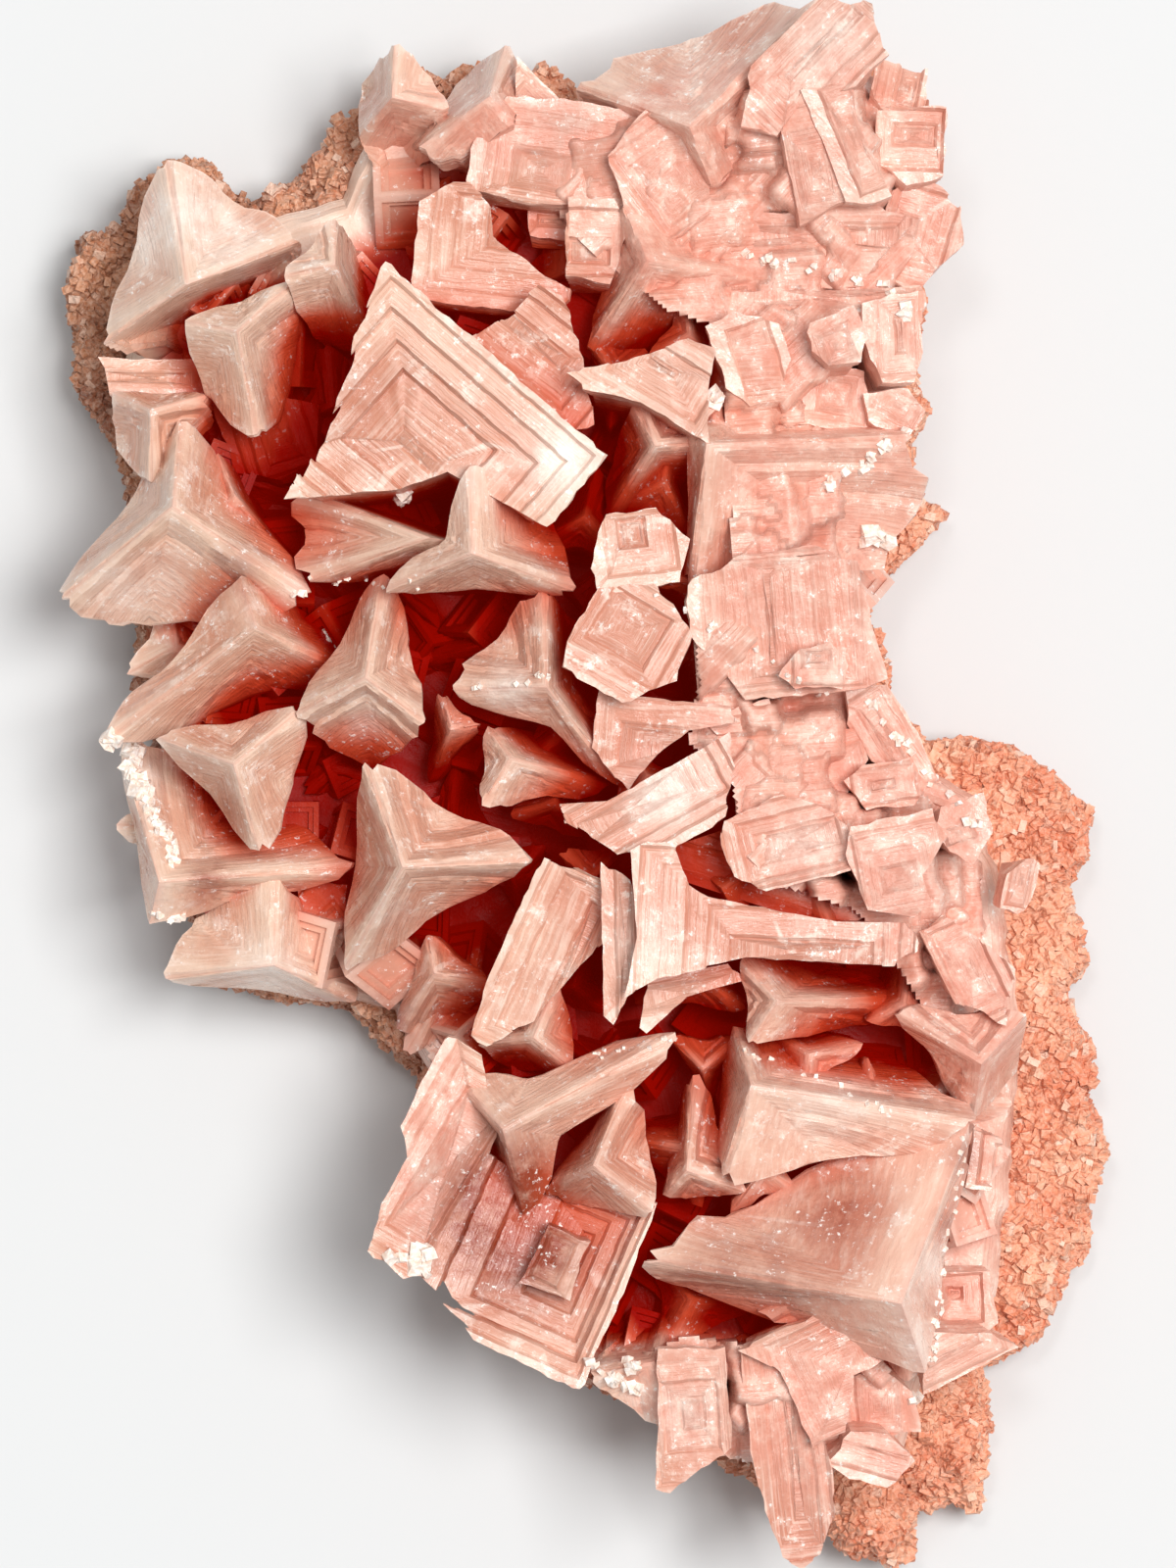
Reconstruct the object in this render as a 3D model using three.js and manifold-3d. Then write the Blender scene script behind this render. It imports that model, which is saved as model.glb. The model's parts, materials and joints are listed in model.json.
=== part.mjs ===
import * as THREE from 'three';
import Module from 'manifold-3d';

// Where the specimen was measured from: tenths of a millimetre, rightwards and downwards
const MEASURE_SCALE = 0.1;
const MEASURE_ORIGIN = [600, 800];

// Heights above the resting plane
const CRUST_TOP = 11.0;
const BED_TOP = 15.5;
const BED_BOTTOM = 6.0;
const ROOT_HEIGHT = 13.7;
const TIP_FLOOR = 16.5;

// The gap that keeps the crystals and the crust apart
const CRUST_CLEARANCE = 0.3;

// Corner crystals: ridge width as a share of the face, lip thickness, taper down to the root
const RIDGE_SHARE = 0.16;
const RISER_SHARE = 1.12;
const SMALL_FACE = 4.5;
const RECESS_SHARE = 0.075;
const LIP = 1.7;
const DEEPEST_RECESS = 0.6 * LIP;
const LIP_SHRINK = 0.9;
const ROOT_SHARE = 0.42;
const EVEN_SHARE = 2 / 3;
const SHARE_RANGE = [0.12, 0.97];

// Plate crystals: the same measures
const PLATE_RIDGE = 0.17;
const PLATE_RISER = 1.2;
const PLATE_ROOT = 0.6;
const PLATE_STEPPED = 0.5;
const PLATE_LEAN = 0.13;

// Centre that the outlines of the crust and of the crystal bed are drawn around
const RING_CENTRE = [600, 860];

// Crystals fan out from the bed: their roots stand this much nearer the middle
const FAN_SHARE = 0.09;

// Hollow-faced corners: the near corner with its height, the three arm tips in turn against the
// clock, then the outer point of each hollow face, empty where the face ends straight
const CORNERS = [
  [[192, 292, 31], [[170, 162], [105, 350], [305, 246]], [[133, 262], [185, 345], []]],
  [[243, 340, 34], [[298, 290], [190, 328], [263, 443]], [[], [208, 400], [300, 372]]],
  [[343, 272, 32], [[343, 225], [291, 283], [377, 342]], [[], [318, 340], [368, 262]]],
  [[155, 418, 28], [[115, 400], [155, 492], [212, 402]], [[118, 458], [], []]],
  [[178, 518, 35], [[185, 430], [63, 610], [312, 606]], [[131, 512], [150, 636], [258, 528]]],
  [[240, 505, 27], [[222, 462], [215, 545], [300, 575]], [[], [], [275, 520]]],
  [[262, 640, 33], [[245, 590], [108, 757], [351, 682]], [[], [250, 709], [318, 628]]],
  [[240, 780, 35], [[163, 752], [265, 868], [305, 726]], [[], [298, 800], []]],
  [[163, 900, 29], [[122, 762], [152, 943], [357, 885]], [[], [], []]],
  [[280, 985, 27], [[281, 897], [168, 999], [361, 1023]], [[198, 938], [], []]],
  [[412, 884, 39], [[373, 778], [352, 988], [541, 877]], [[], [], []]],
  [[374, 692, 37], [[392, 586], [303, 728], [434, 737]], [[], [378, 786], [420, 672]]],
  [[460, 745, 28], [[447, 708], [437, 799], [487, 741]], [[], [], []]],
  [[440, 550, 37], [[316, 502], [316, 593], [466, 556]], [[312, 548], [398, 580], [400, 506]]],
  [[483, 567, 42], [[480, 478], [395, 602], [583, 603]], [[455, 552], [486, 600], [565, 535]]],
  [[660, 268, 34], [[637, 205], [603, 356], [850, 297]], [[], [700, 345], []]],
  [[703, 133, 35], [[838, 2], [590, 88], [728, 190]], [[705, 38], [655, 175], [795, 125]]],
  [[668, 456, 35], [[648, 408], [620, 532], [718, 453]], [[627, 462], [690, 505], [692, 424]]],
  [[720, 455, 38], [[702, 432], [703, 603], [930, 447]], [[], [903, 580], [815, 424]]],
  [[558, 702, 38], [[556, 604], [463, 704], [636, 803]], [[508, 652], [562, 742], [612, 695]]],
  [[521, 773, 33], [[498, 741], [492, 822], [622, 800]], [[], [552, 813], [575, 752]]],
  [[793, 1020, 36], [[757, 977], [768, 1061], [927, 1020]], [[762, 1020], [858, 1050], [850, 985]]],
  [[765, 1105, 39], [[748, 1047], [737, 1198], [987, 1143]], [[735, 1120], [845, 1182], [868, 1058]]],
  [[917, 1326, 42], [[988, 1145], [671, 1284], [943, 1399]], [[748, 1238], [712, 1318], []]],
  [[442, 994, 25], [[435, 955], [404, 1050], [500, 1003]], [[], [455, 1054], []]],
  [[545, 1058, 32], [[567, 1003], [491, 1064], [583, 1091]], [[518, 1035], [522, 1093], [584, 1050]]],
  [[513, 1150, 37], [[462, 1098], [536, 1238], [690, 1058]], [[], [572, 1158], [540, 1100]]],
  [[605, 1187, 36], [[640, 1108], [556, 1214], [666, 1234]], [[], [602, 1231], [662, 1172]]],
  [[700, 1193, 33], [[707, 1097], [676, 1218], [761, 1213]], [[], [716, 1221], []]],
  [[1000, 1085, 32], [[1046, 1034], [917, 1034], [993, 1142]], [[985, 1035], [950, 1075], [1040, 1095]]],
  [[400, 100, 27], [[402, 46], [366, 138], [452, 112]], [[368, 82], [405, 152], [440, 78]]],
  [[500, 100, 30], [[515, 44], [428, 150], [525, 128]], [[465, 82], [470, 160], [534, 85]]],
  [[668, 1388, 29], [[690, 1332], [603, 1400], [690, 1455]], [[640, 1358], [625, 1425], [700, 1395]]],
];

// Plates and blocks seen square on: height, slope across and along, recess, centre, outline
const PLATES = [
  [20, 0, 0, 0, [155, 383], [[104, 365], [202, 367], [205, 400], [112, 402]]],
  [20, 0, 0.1, 0, [268, 440], [[215, 402], [268, 400], [320, 415], [318, 470], [285, 485], [240, 478]]],
  [19, 0, 0, 0, [325, 935], [[303, 905], [352, 905], [352, 950], [336, 981], [303, 943]]],
  [39, 0.16, 0, 2.2, [450, 450],
    [[398, 281], [608, 465], [553, 535], [456, 480], [402, 500], [302, 507]]],
  [31, 0.05, -0.1, 0.9, [538, 388],
    [[468, 358], [518, 323], [548, 299], [572, 306], [592, 366], [603, 432], [572, 442]]],
  [27, 0, 0.05, 0.8, [478, 258],
    [[432, 210], [455, 193], [480, 191], [500, 208], [502, 238], [548, 275], [577, 293], [562, 318], [421, 303]]],
  [22, 0, 0, 0, [545, 88], [[528, 57], [568, 98], [560, 112], [525, 110]]],
  [27, 0.03, 0.05, 0.8, [560, 150],
    [[520, 102], [575, 104], [660, 118], [655, 152], [612, 200], [560, 208], [482, 190], [483, 152]]],
  [23, 0, 0, 0, [560, 222], [[540, 205], [580, 207], [580, 246], [541, 240]]],
  [28, 0, 0.03, 0.6, [603, 245], [[580, 203], [626, 205], [640, 230], [622, 290], [578, 280]]],
  [24, 0, 0, 0, [768, 190], [[722, 165], [800, 155], [818, 205], [790, 225], [725, 215]]],
  [28, 0.02, 0.03, 0.6, [800, 255],
    [[720, 215], [800, 220], [870, 205], [925, 226], [870, 292], [760, 290], [690, 240]]],
  [25, 0, 0, 0.5, [922, 90], [[898, 57], [947, 68], [948, 110], [905, 113], [893, 90]]],
  [28, 0, 0, 0.7, [930, 143], [[897, 112], [964, 111], [961, 179], [925, 186], [893, 160]]],
  [26, -0.15, 0, 0.6, [932, 238],
    [[912, 195], [948, 180], [978, 212], [983, 248], [955, 268], [937, 293], [905, 285], [898, 240]]],
  [33, 0, 0.1, 0, [822, 165], [[819, 100], [836, 145], [862, 203], [816, 228], [797, 135]]],
  [34, 0, 0.08, 0, [862, 150], [[820, 100], [868, 88], [872, 125], [905, 198], [880, 208], [862, 204]]],
  [35, 0.04, -0.06, 0.5, [830, 66],
    [[838, 2], [886, 10], [899, 60], [868, 90], [818, 102], [795, 135], [760, 128], [770, 70]]],
  [29, 0, 0, 0, [840, 315], [[745, 300], [880, 298], [935, 293], [942, 312], [930, 335], [745, 325]]],
  [33, 0, 0, 0.5, [765, 365],
    [[722, 337], [752, 322], [793, 333], [803, 368], [795, 395], [765, 413], [742, 395], [728, 352]]],
  [35, 0, 0, 0, [852, 342], [[826, 332], [868, 316], [882, 345], [876, 370], [845, 372], [828, 360]]],
  [31, -0.1, 0, 0, [905, 350], [[880, 312], [935, 300], [938, 360], [930, 388], [900, 390], [882, 350]]],
  [28, -0.1, 0, 0, [912, 422], [[885, 405], [925, 398], [943, 420], [925, 450], [888, 430]]],
  [37, 0, 0.15, 0.6, [670, 394],
    [[583, 383], [640, 370], [700, 350], [725, 362], [722, 400], [718, 450], [655, 411], [600, 399]]],
  [33, 0, 0, 0, [728, 411], [[718, 402], [730, 399], [736, 415], [722, 425]]],
  [35, 0, 0, 1.0, [655, 562],
    [[620, 528], [668, 522], [700, 552], [690, 592], [655, 600], [613, 603], [606, 580], [613, 545]]],
  [37, 0.05, 0, 0.8, [642, 655],
    [[612, 604], [668, 600], [702, 648], [686, 692], [635, 714], [577, 680], [583, 655]]],
  [34, 0, 0.1, 0.7, [655, 738],
    [[612, 702], [640, 712], [738, 722], [748, 737], [700, 745], [662, 775], [642, 802], [606, 762]]],
  [32, -0.05, 0.1, 0.6, [763, 765],
    [[703, 722], [745, 728], [782, 718], [792, 760], [798, 812], [770, 819], [741, 790], [735, 752]]],
  [36, -0.05, 0.05, 0.5, [800, 640],
    [[705, 600], [760, 572], [830, 563], [868, 578], [885, 640], [899, 690], [860, 702], [762, 710], [712, 650]]],
  [38, 0, 0, 0, [830, 682], [[795, 690], [815, 663], [845, 658], [863, 680], [855, 702], [812, 702]]],
  [28, 0, 0.05, 0, [905, 750],
    [[865, 705], [905, 700], [938, 755], [955, 795], [925, 798], [890, 775], [868, 740]]],
  [38, 0.12, -0.05, 0.8, [662, 815],
    [[576, 820], [622, 817], [738, 752], [744, 775], [736, 832], [682, 866], [632, 868], [581, 838]]],
  [37, 0.05, 0, 0.7, [800, 860],
    [[740, 838], [797, 812], [850, 828], [868, 850], [862, 886], [782, 906], [752, 892], [738, 862]]],
  [38, 0.05, 0, 0, [905, 882],
    [[868, 845], [945, 830], [962, 852], [938, 892], [946, 918], [930, 933], [885, 925], [864, 872]]],
  [34, 0, 0, 0, [983, 846], [[955, 846], [960, 825], [1000, 812], [1010, 848], [991, 877], [968, 868]]],
  [31, 0, 0, 0, [903, 800], [[865, 797], [880, 782], [925, 775], [942, 800], [930, 820], [885, 825]]],
  [31, -0.1, 0, 0.9, [990, 988],
    [[940, 952], [962, 936], [985, 945], [1032, 988], [1030, 1012], [1022, 1040], [975, 1022]]],
  [24, 0, 0, 0, [1040, 903], [[1022, 925], [1028, 892], [1055, 876], [1060, 885], [1052, 920], [1038, 932]]],
  [22, 0, 0, 1.2, [1014, 1186], [[995, 1155], [1028, 1165], [1042, 1190], [1010, 1216], [988, 1210]]],
  [21, 0, 0, 0.6, [985, 1328], [[952, 1302], [1010, 1300], [1018, 1350], [1000, 1360], [948, 1356]]],
  [24, 0, 0, 0, [980, 1384], [[947, 1362], [1010, 1362], [1036, 1376], [944, 1422]]],
  [40, -0.17, 0, 1.0, [692, 945],
    [[645, 870], [662, 863], [688, 866], [702, 905], [720, 916], [850, 940], [912, 941], [921, 960],
      [905, 984], [760, 976], [670, 995], [640, 1013], [652, 955]]],
  [37, 0, 0.05, 0, [632, 960], [[614, 883], [642, 900], [654, 955], [640, 1010], [626, 1040], [617, 1030]]],
  [32, 0, 0.1, 0, [688, 1008], [[663, 998], [738, 985], [755, 1000], [700, 1016], [661, 1051], [655, 1045]]],
  [34, 0.05, 0.1, 1.2, [562, 970],
    [[556, 878], [619, 905], [620, 955], [592, 985], [545, 1040], [500, 1062], [487, 1050], [500, 1000]]],
  [32, 0.05, 0.05, 0.8, [447, 1175],
    [[458, 1060], [490, 1080], [505, 1160], [448, 1258], [435, 1292], [405, 1294], [381, 1268],
      [392, 1225], [418, 1180], [412, 1150], [432, 1108]]],
  [31, 0.03, 0.03, 3.2, [555, 1278],
    [[470, 1165], [560, 1215], [664, 1230], [642, 1290], [590, 1409], [488, 1360], [430, 1296], [447, 1258]]],
  [31, 0, 0, 0, [567, 1285], [[560, 1249], [599, 1268], [580, 1321], [534, 1305]]],
  [30, 0.05, 0.1, 0.7, [708, 1445],
    [[672, 1376], [737, 1378], [745, 1475], [700, 1505], [685, 1518], [671, 1515], [674, 1450]]],
  [28, 0, 0.25, 0.8, [808, 1490],
    [[757, 1378], [800, 1385], [830, 1440], [847, 1500], [849, 1545], [836, 1582], [818, 1594], [800, 1584],
      [783, 1540], [768, 1480]]],
  [27, 0, 0.1, 0, [888, 1490], [[845, 1492], [870, 1463], [905, 1463], [932, 1490], [905, 1517], [868, 1507]]],
  [31, 0, 0.05, 0.5, [840, 1395],
    [[757, 1377], [830, 1345], [902, 1340], [907, 1385], [870, 1403], [862, 1460], [830, 1472], [800, 1400]]],
  [30, 0, 0, 0.5, [685, 190],
    [[622, 160], [660, 118], [700, 135], [722, 165], [725, 215], [660, 262], [640, 215]]],
  [27, 0, 0, 0, [842, 402], [[803, 368], [880, 380], [888, 430], [860, 440], [800, 425]]],
  [28, 0, 0, 0, [838, 788], [[800, 765], [870, 745], [885, 775], [868, 800], [850, 828], [797, 812]]],
  [24, 0, 0, 0, [903, 1432], [[870, 1405], [905, 1402], [930, 1420], [938, 1460], [868, 1465]]],
  [30, -0.1, 0, 0, [750, 908],
    [[688, 866], [738, 850], [752, 892], [850, 915], [878, 930], [850, 948], [702, 900]]],
];

// Outline of the salt crust as it lies, with the clock
const CRUST_OUTLINE = [
  [142, 186], [172, 164], [204, 158], [227, 188], [262, 212], [292, 188], [340, 144], [376, 96],
  [404, 66], [440, 84], [500, 66], [545, 68], [600, 94], [660, 84], [740, 52], [800, 34], [862, 34],
  [905, 76], [935, 125], [932, 200], [952, 250], [936, 293], [940, 312], [930, 336], [943, 420],
  [925, 452], [936, 487], [962, 525], [925, 562], [880, 606], [886, 640], [899, 690], [914, 735],
  [940, 764], [968, 760], [1001, 756], [1042, 776], [1082, 790], [1108, 830], [1105, 872], [1086, 910],
  [1096, 952], [1105, 985], [1092, 1012], [1110, 1070], [1116, 1128], [1132, 1150], [1121, 1190],
  [1115, 1250], [1100, 1290], [1076, 1330], [1060, 1370], [1030, 1390], [1002, 1404], [1010, 1460],
  [1000, 1540], [938, 1546], [930, 1592], [880, 1600], [850, 1570], [805, 1545], [765, 1508],
  [700, 1485], [665, 1446], [620, 1415], [560, 1388], [480, 1335], [436, 1270], [428, 1160],
  [430, 1092], [382, 1046], [350, 1022], [290, 1018], [225, 1000], [196, 930], [182, 860], [168, 790],
  [146, 722], [141, 672], [150, 620], [142, 540], [124, 464], [104, 430], [84, 400], [78, 350],
  [67, 292], [80, 240], [122, 226],
];

// Outline of the crystal bed that the crystals rise from, with the clock
const BED_OUTLINE = [
  [172, 205], [262, 222], [345, 190], [378, 118], [405, 88], [460, 110], [520, 78], [600, 112], [720, 78],
  [850, 44], [915, 88], [938, 150], [930, 215], [945, 262], [926, 330], [920, 430], [930, 525],
  [872, 595], [882, 680], [915, 762], [1000, 812], [1028, 900], [1040, 1000], [1046, 1100], [1036, 1220],
  [1022, 1330], [958, 1396], [926, 1490], [852, 1512], [826, 1556], [768, 1480], [700, 1478], [610, 1398],
  [505, 1345], [448, 1280], [440, 1100], [398, 1036], [300, 1004], [214, 968], [178, 880], [158, 760],
  [150, 640], [150, 540], [138, 450], [120, 360], [132, 262],
];

const wasm = await Module();
wasm.setup();

const place = ([x, y], z = 0) => new THREE.Vector3(
  (x - MEASURE_ORIGIN[0]) * MEASURE_SCALE,
  (MEASURE_ORIGIN[1] - y) * MEASURE_SCALE,
  z,
);

const between = (from, to, share) => from.clone().lerp(to, share);

const flat = (point, z) => new THREE.Vector3(point.x, point.y, z);

const rooted = (point) => flat(between(flat(point, 0), place(RING_CENTRE), FAN_SHARE), ROOT_HEIGHT);

class Shell {
  constructor() {
    this.points = [];
    this.triangles = [];
  }

  add(point) {
    this.points.push(point);
    return this.points.length - 1;
  }

  addAll(points) {
    return points.map((point) => this.add(point));
  }

  triangle(a, b, c) {
    this.triangles.push([a, b, c]);
  }

  // Band between two open rows of equal length, upper row first
  band(upper, lower) {
    for (let i = 0; i + 1 < upper.length; i += 1) {
      this.triangle(upper[i], lower[i], lower[i + 1]);
      this.triangle(upper[i], lower[i + 1], upper[i + 1]);
    }
  }

  // Band between two closed loops of equal length, upper loop first, both against the clock
  wrap(upper, lower) {
    this.band([...upper, upper[0]], [...lower, lower[0]]);
  }

  cap(loop, centre, upward) {
    loop.forEach((point, i) => {
      const next = loop[(i + 1) % loop.length];
      if (upward) {
        this.triangle(centre, point, next);
      } else {
        this.triangle(centre, next, point);
      }
    });
  }

  solid() {
    const vertProperties = new Float32Array(this.points.length * 3);
    this.points.forEach((point, i) => point.toArray(vertProperties, i * 3));
    const triVerts = new Uint32Array(this.triangles.flat());
    return new wasm.Manifold(new wasm.Mesh({ numProp: 3, vertProperties, triVerts }));
  }
}

// Heights of the three tips when the arms are the edges of one cube corner seen from above
function tipHeights(apex, tips) {
  const angles = tips.map((tip) => Math.atan2(tip.y - apex.y, tip.x - apex.x));
  const weights = angles.map((_, i) => Math.sin(2 * (angles[(i + 1) % 3] - angles[(i + 2) % 3])));
  const total = weights[0] + weights[1] + weights[2];
  const shares = weights.map((weight) => (2 * weight) / total);
  const square = shares.every((share) => share > SHARE_RANGE[0] && share < SHARE_RANGE[1]);
  return tips.map((tip, i) => {
    const share = square ? shares[i] : EVEN_SHARE;
    const reach = Math.hypot(tip.x - apex.x, tip.y - apex.y);
    const drop = reach * Math.sqrt((1 - share) / share);
    return Math.max(apex.z - drop, TIP_FLOOR);
  });
}

// Outer point of a hollow face, laid in the plane of its two arms
function outerPoint(apex, first, second, measured) {
  if (measured.length === 0) {
    return between(first, second, 0.5);
  }
  const a = first.clone().sub(apex);
  const b = second.clone().sub(apex);
  const target = place(measured).sub(apex);
  const area = a.x * b.y - a.y * b.x;
  const alongA = (target.x * b.y - target.y * b.x) / area;
  const alongB = (a.x * target.y - a.y * target.x) / area;
  return apex.clone().addScaledVector(a, alongA).addScaledVector(b, alongB);
}

function cornerCrystal([apexRow, tipRows, outerRows]) {
  const shell = new Shell();
  const apex = place(apexRow, apexRow[2]);
  const flatTips = tipRows.map((row) => place(row));
  const heights = tipHeights(apex, flatTips);
  const tips = flatTips.map((tip, i) => flat(tip, heights[i]));
  const apexId = shell.add(apex);
  const tipIds = shell.addAll(tips);
  const lower = (point) => {
    const shrunk = between(flat(apex, 0), flat(point, 0), LIP_SHRINK);
    return flat(shrunk, point.z - LIP);
  };
  const lipTips = tips.map((tip) => shell.add(lower(tip)));
  const lipOuters = [];

  tips.forEach((tip, i) => {
    const j = (i + 1) % 3;
    const next = tips[j];
    const outer = outerPoint(apex, tip, next, outerRows[i]);
    const inward = next.clone().sub(apex).cross(tip.clone().sub(apex)).normalize();
    const size = Math.min(apex.distanceTo(tip), apex.distanceTo(next));
    const depth = Math.min(size * RECESS_SHARE, DEEPEST_RECESS);
    const level = (share, sink) => shell.addAll([tip, apex, next].map(
      (point) => between(point, outer, share).addScaledVector(inward, sink),
    ));
    const rows = [[tipIds[i], apexId, tipIds[j]]];
    if (size > SMALL_FACE) {
      rows.push(level(RIDGE_SHARE, 0), level(RIDGE_SHARE * RISER_SHARE, depth));
    }
    for (let k = 0; k + 1 < rows.length; k += 1) {
      shell.band(rows[k], rows[k + 1]);
    }
    const last = rows[rows.length - 1];
    const outerId = shell.add(outer.clone().addScaledVector(inward, depth));
    shell.triangle(last[0], outerId, last[1]);
    shell.triangle(last[1], outerId, last[2]);

    // Broken edge of the face, then the lip under it
    const lipOuter = shell.add(lower(outer));
    lipOuters.push(lipOuter);
    for (let k = 0; k + 1 < rows.length; k += 1) {
      shell.triangle(rows[k][0], lipTips[i], rows[k + 1][0]);
      shell.triangle(rows[k][2], rows[k + 1][2], lipTips[j]);
    }
    shell.triangle(last[0], lipTips[i], lipOuter);
    shell.triangle(last[0], lipOuter, outerId);
    shell.triangle(outerId, lipOuter, last[2]);
    shell.triangle(last[2], lipOuter, lipTips[j]);
  });

  const lip = [lipTips[0], lipOuters[0], lipTips[1], lipOuters[1], lipTips[2], lipOuters[2]];
  const root = lip.map((id) => {
    const inner = between(flat(apex, 0), flat(shell.points[id], 0), ROOT_SHARE);
    return shell.add(rooted(inner));
  });
  shell.wrap(lip, root);
  shell.cap(root, shell.add(rooted(apex)), false);
  return shell.solid();
}

function plateCrystal([top, slopeX, slopeY, recess, centreRow, outlineRows]) {
  const shell = new Shell();
  const centre = place(centreRow, top);
  const outline = outlineRows.map((row) => place(row)).reverse();
  const leanX = slopeX + PLATE_LEAN * Math.sin(0.9 * centre.x + 0.5 * centre.y);
  const leanY = slopeY + PLATE_LEAN * Math.cos(0.6 * centre.x - 0.8 * centre.y);
  const surface = (point, sink) => {
    const rise = leanX * (point.x - centre.x) + leanY * (point.y - centre.y);
    return flat(point, top + rise - sink);
  };
  const ring = (share, sink) => shell.addAll(outline.map(
    (point) => surface(between(flat(centre, 0), point, share), sink),
  ));
  const rim = ring(1, 0);
  let inner = rim;
  let sunk = 0;
  if (recess >= PLATE_STEPPED) {
    const steps = [ring(1 - PLATE_RIDGE, 0), ring(1 - PLATE_RIDGE * PLATE_RISER, recess)];
    steps.forEach((step) => {
      shell.wrap(step, inner);
      inner = step;
    });
    sunk = recess;
  }
  shell.cap(inner, shell.add(surface(flat(centre, 0), sunk)), true);
  const root = shell.addAll(outline.map(
    (point) => rooted(between(flat(centre, 0), point, PLATE_ROOT)),
  ));
  shell.wrap(rim, root);
  shell.cap(root, shell.add(rooted(centre)), false);
  return shell.solid();
}

// Low uneven swell of the grown salt, and how far it wavers the edge
const EDGE_WAVER = 0.5;
const swell = (x, y) => (
  0.9 * Math.sin(x * 0.31 + 1.3) * Math.cos(y * 0.27 - 0.4)
  + 0.5 * Math.sin(x * 0.83 - y * 0.61 + 2.1)
  + 0.3 * Math.cos(x * 1.37 + y * 1.11)
);

// Lumpy slab: rings [share of the outline, height, share of the swell] from the underside up
function slab(outlineRows, rings, grow) {
  const shell = new Shell();
  const centre = place(RING_CENTRE);
  const outline = outlineRows.map((row) => place(row)).reverse();
  const loops = rings.map(([share, height, lumpy]) => shell.addAll(outline.map((point) => {
    const reach = point.distanceTo(centre);
    const ragged = lumpy * EDGE_WAVER * swell(point.y * 1.9, point.x * 1.7);
    const edge = reach * share + ragged;
    const at = between(centre, point, edge / reach);
    const grown = between(centre, point, (edge + grow) / reach);
    return flat(grown, height + lumpy * swell(at.x, at.y));
  })));
  for (let i = 0; i + 1 < loops.length; i += 1) {
    shell.wrap(loops[i + 1], loops[i]);
  }
  const [, underside] = rings[0];
  const [, crown, lumpy] = rings[rings.length - 1];
  shell.cap(loops[0], shell.add(flat(centre, underside)), false);
  shell.cap(loops[loops.length - 1], shell.add(flat(centre, crown + lumpy * swell(centre.x, centre.y))), true);
  return shell.solid();
}

const crustRings = (lift, underside) => [
  [0.975, underside, 0],
  [0.992, 2.2 + lift, 0.4],
  [1.0, 5.2 + lift, 0.7],
  [0.99, CRUST_TOP - 2.4 + lift, 1],
  [0.955, CRUST_TOP - 0.4 + lift, 1],
  [0.87, CRUST_TOP + lift, 1],
  [0.7, CRUST_TOP + lift, 1],
  [0.4, CRUST_TOP + lift, 1],
];

const BED_RINGS = [
  [0.96, BED_BOTTOM, 0],
  [0.99, BED_TOP - 2.6, 0.5],
  [0.95, BED_TOP, 0],
];

function crustSolid() {
  return slab(CRUST_OUTLINE, crustRings(0, 0), 0);
}

function crustCutter() {
  return slab(CRUST_OUTLINE, crustRings(CRUST_CLEARANCE, -1), CRUST_CLEARANCE);
}

function crystalSolid() {
  let cluster = slab(BED_OUTLINE, BED_RINGS, 0);
  CORNERS.forEach((row) => {
    cluster = cluster.add(cornerCrystal(row));
  });
  PLATES.forEach((row) => {
    cluster = cluster.add(plateCrystal(row));
  });
  return cluster.subtract(crustCutter());
}

// Outer skin of the joined cluster: pockets closed off inside it have grown full
function outerSkin(indices, count) {
  const owner = Array.from({ length: count }, (_, i) => i);
  const find = (i) => {
    let at = i;
    while (owner[at] !== at) {
      owner[at] = owner[owner[at]];
      at = owner[at];
    }
    return at;
  };
  for (let i = 0; i < indices.length; i += 3) {
    owner[find(indices[i + 1])] = find(indices[i]);
    owner[find(indices[i + 2])] = find(indices[i]);
  }
  const sizes = new Map();
  for (let i = 0; i < indices.length; i += 3) {
    const shellId = find(indices[i]);
    sizes.set(shellId, (sizes.get(shellId) ?? 0) + 1);
  }
  const [largest] = [...sizes.entries()].sort((a, b) => b[1] - a[1])[0];
  return indices.filter((_, i) => find(indices[i - (i % 3)]) === largest);
}

function toMesh(solid, name, colour, roughness) {
  const { numProp, vertProperties, triVerts } = solid.getMesh();
  const count = vertProperties.length / numProp;
  const positions = new Float32Array(count * 3);
  for (let i = 0; i < count; i += 1) {
    for (let axis = 0; axis < 3; axis += 1) {
      positions[i * 3 + axis] = vertProperties[i * numProp + axis];
    }
  }
  const geometry = new THREE.BufferGeometry();
  geometry.setAttribute('position', new THREE.BufferAttribute(positions, 3));
  geometry.setIndex(outerSkin([...triVerts], count));
  geometry.computeVertexNormals();
  const material = new THREE.MeshStandardMaterial({ color: colour, roughness, metalness: 0 });
  material.name = `${name}_surface`;
  const mesh = new THREE.Mesh(geometry, material);
  mesh.name = name;
  return mesh;
}

const specimen = new THREE.Group();
specimen.name = 'halite_specimen';
specimen.add(toMesh(crustSolid(), 'salt_crust', '#d59a70', 0.85));
specimen.add(toMesh(crystalSolid(), 'pink_crystals', '#e6ad98', 0.3));

export default specimen;
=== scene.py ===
import json
import math
import random

import bpy
import numpy as np
from mathutils import Euler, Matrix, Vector, noise

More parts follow.
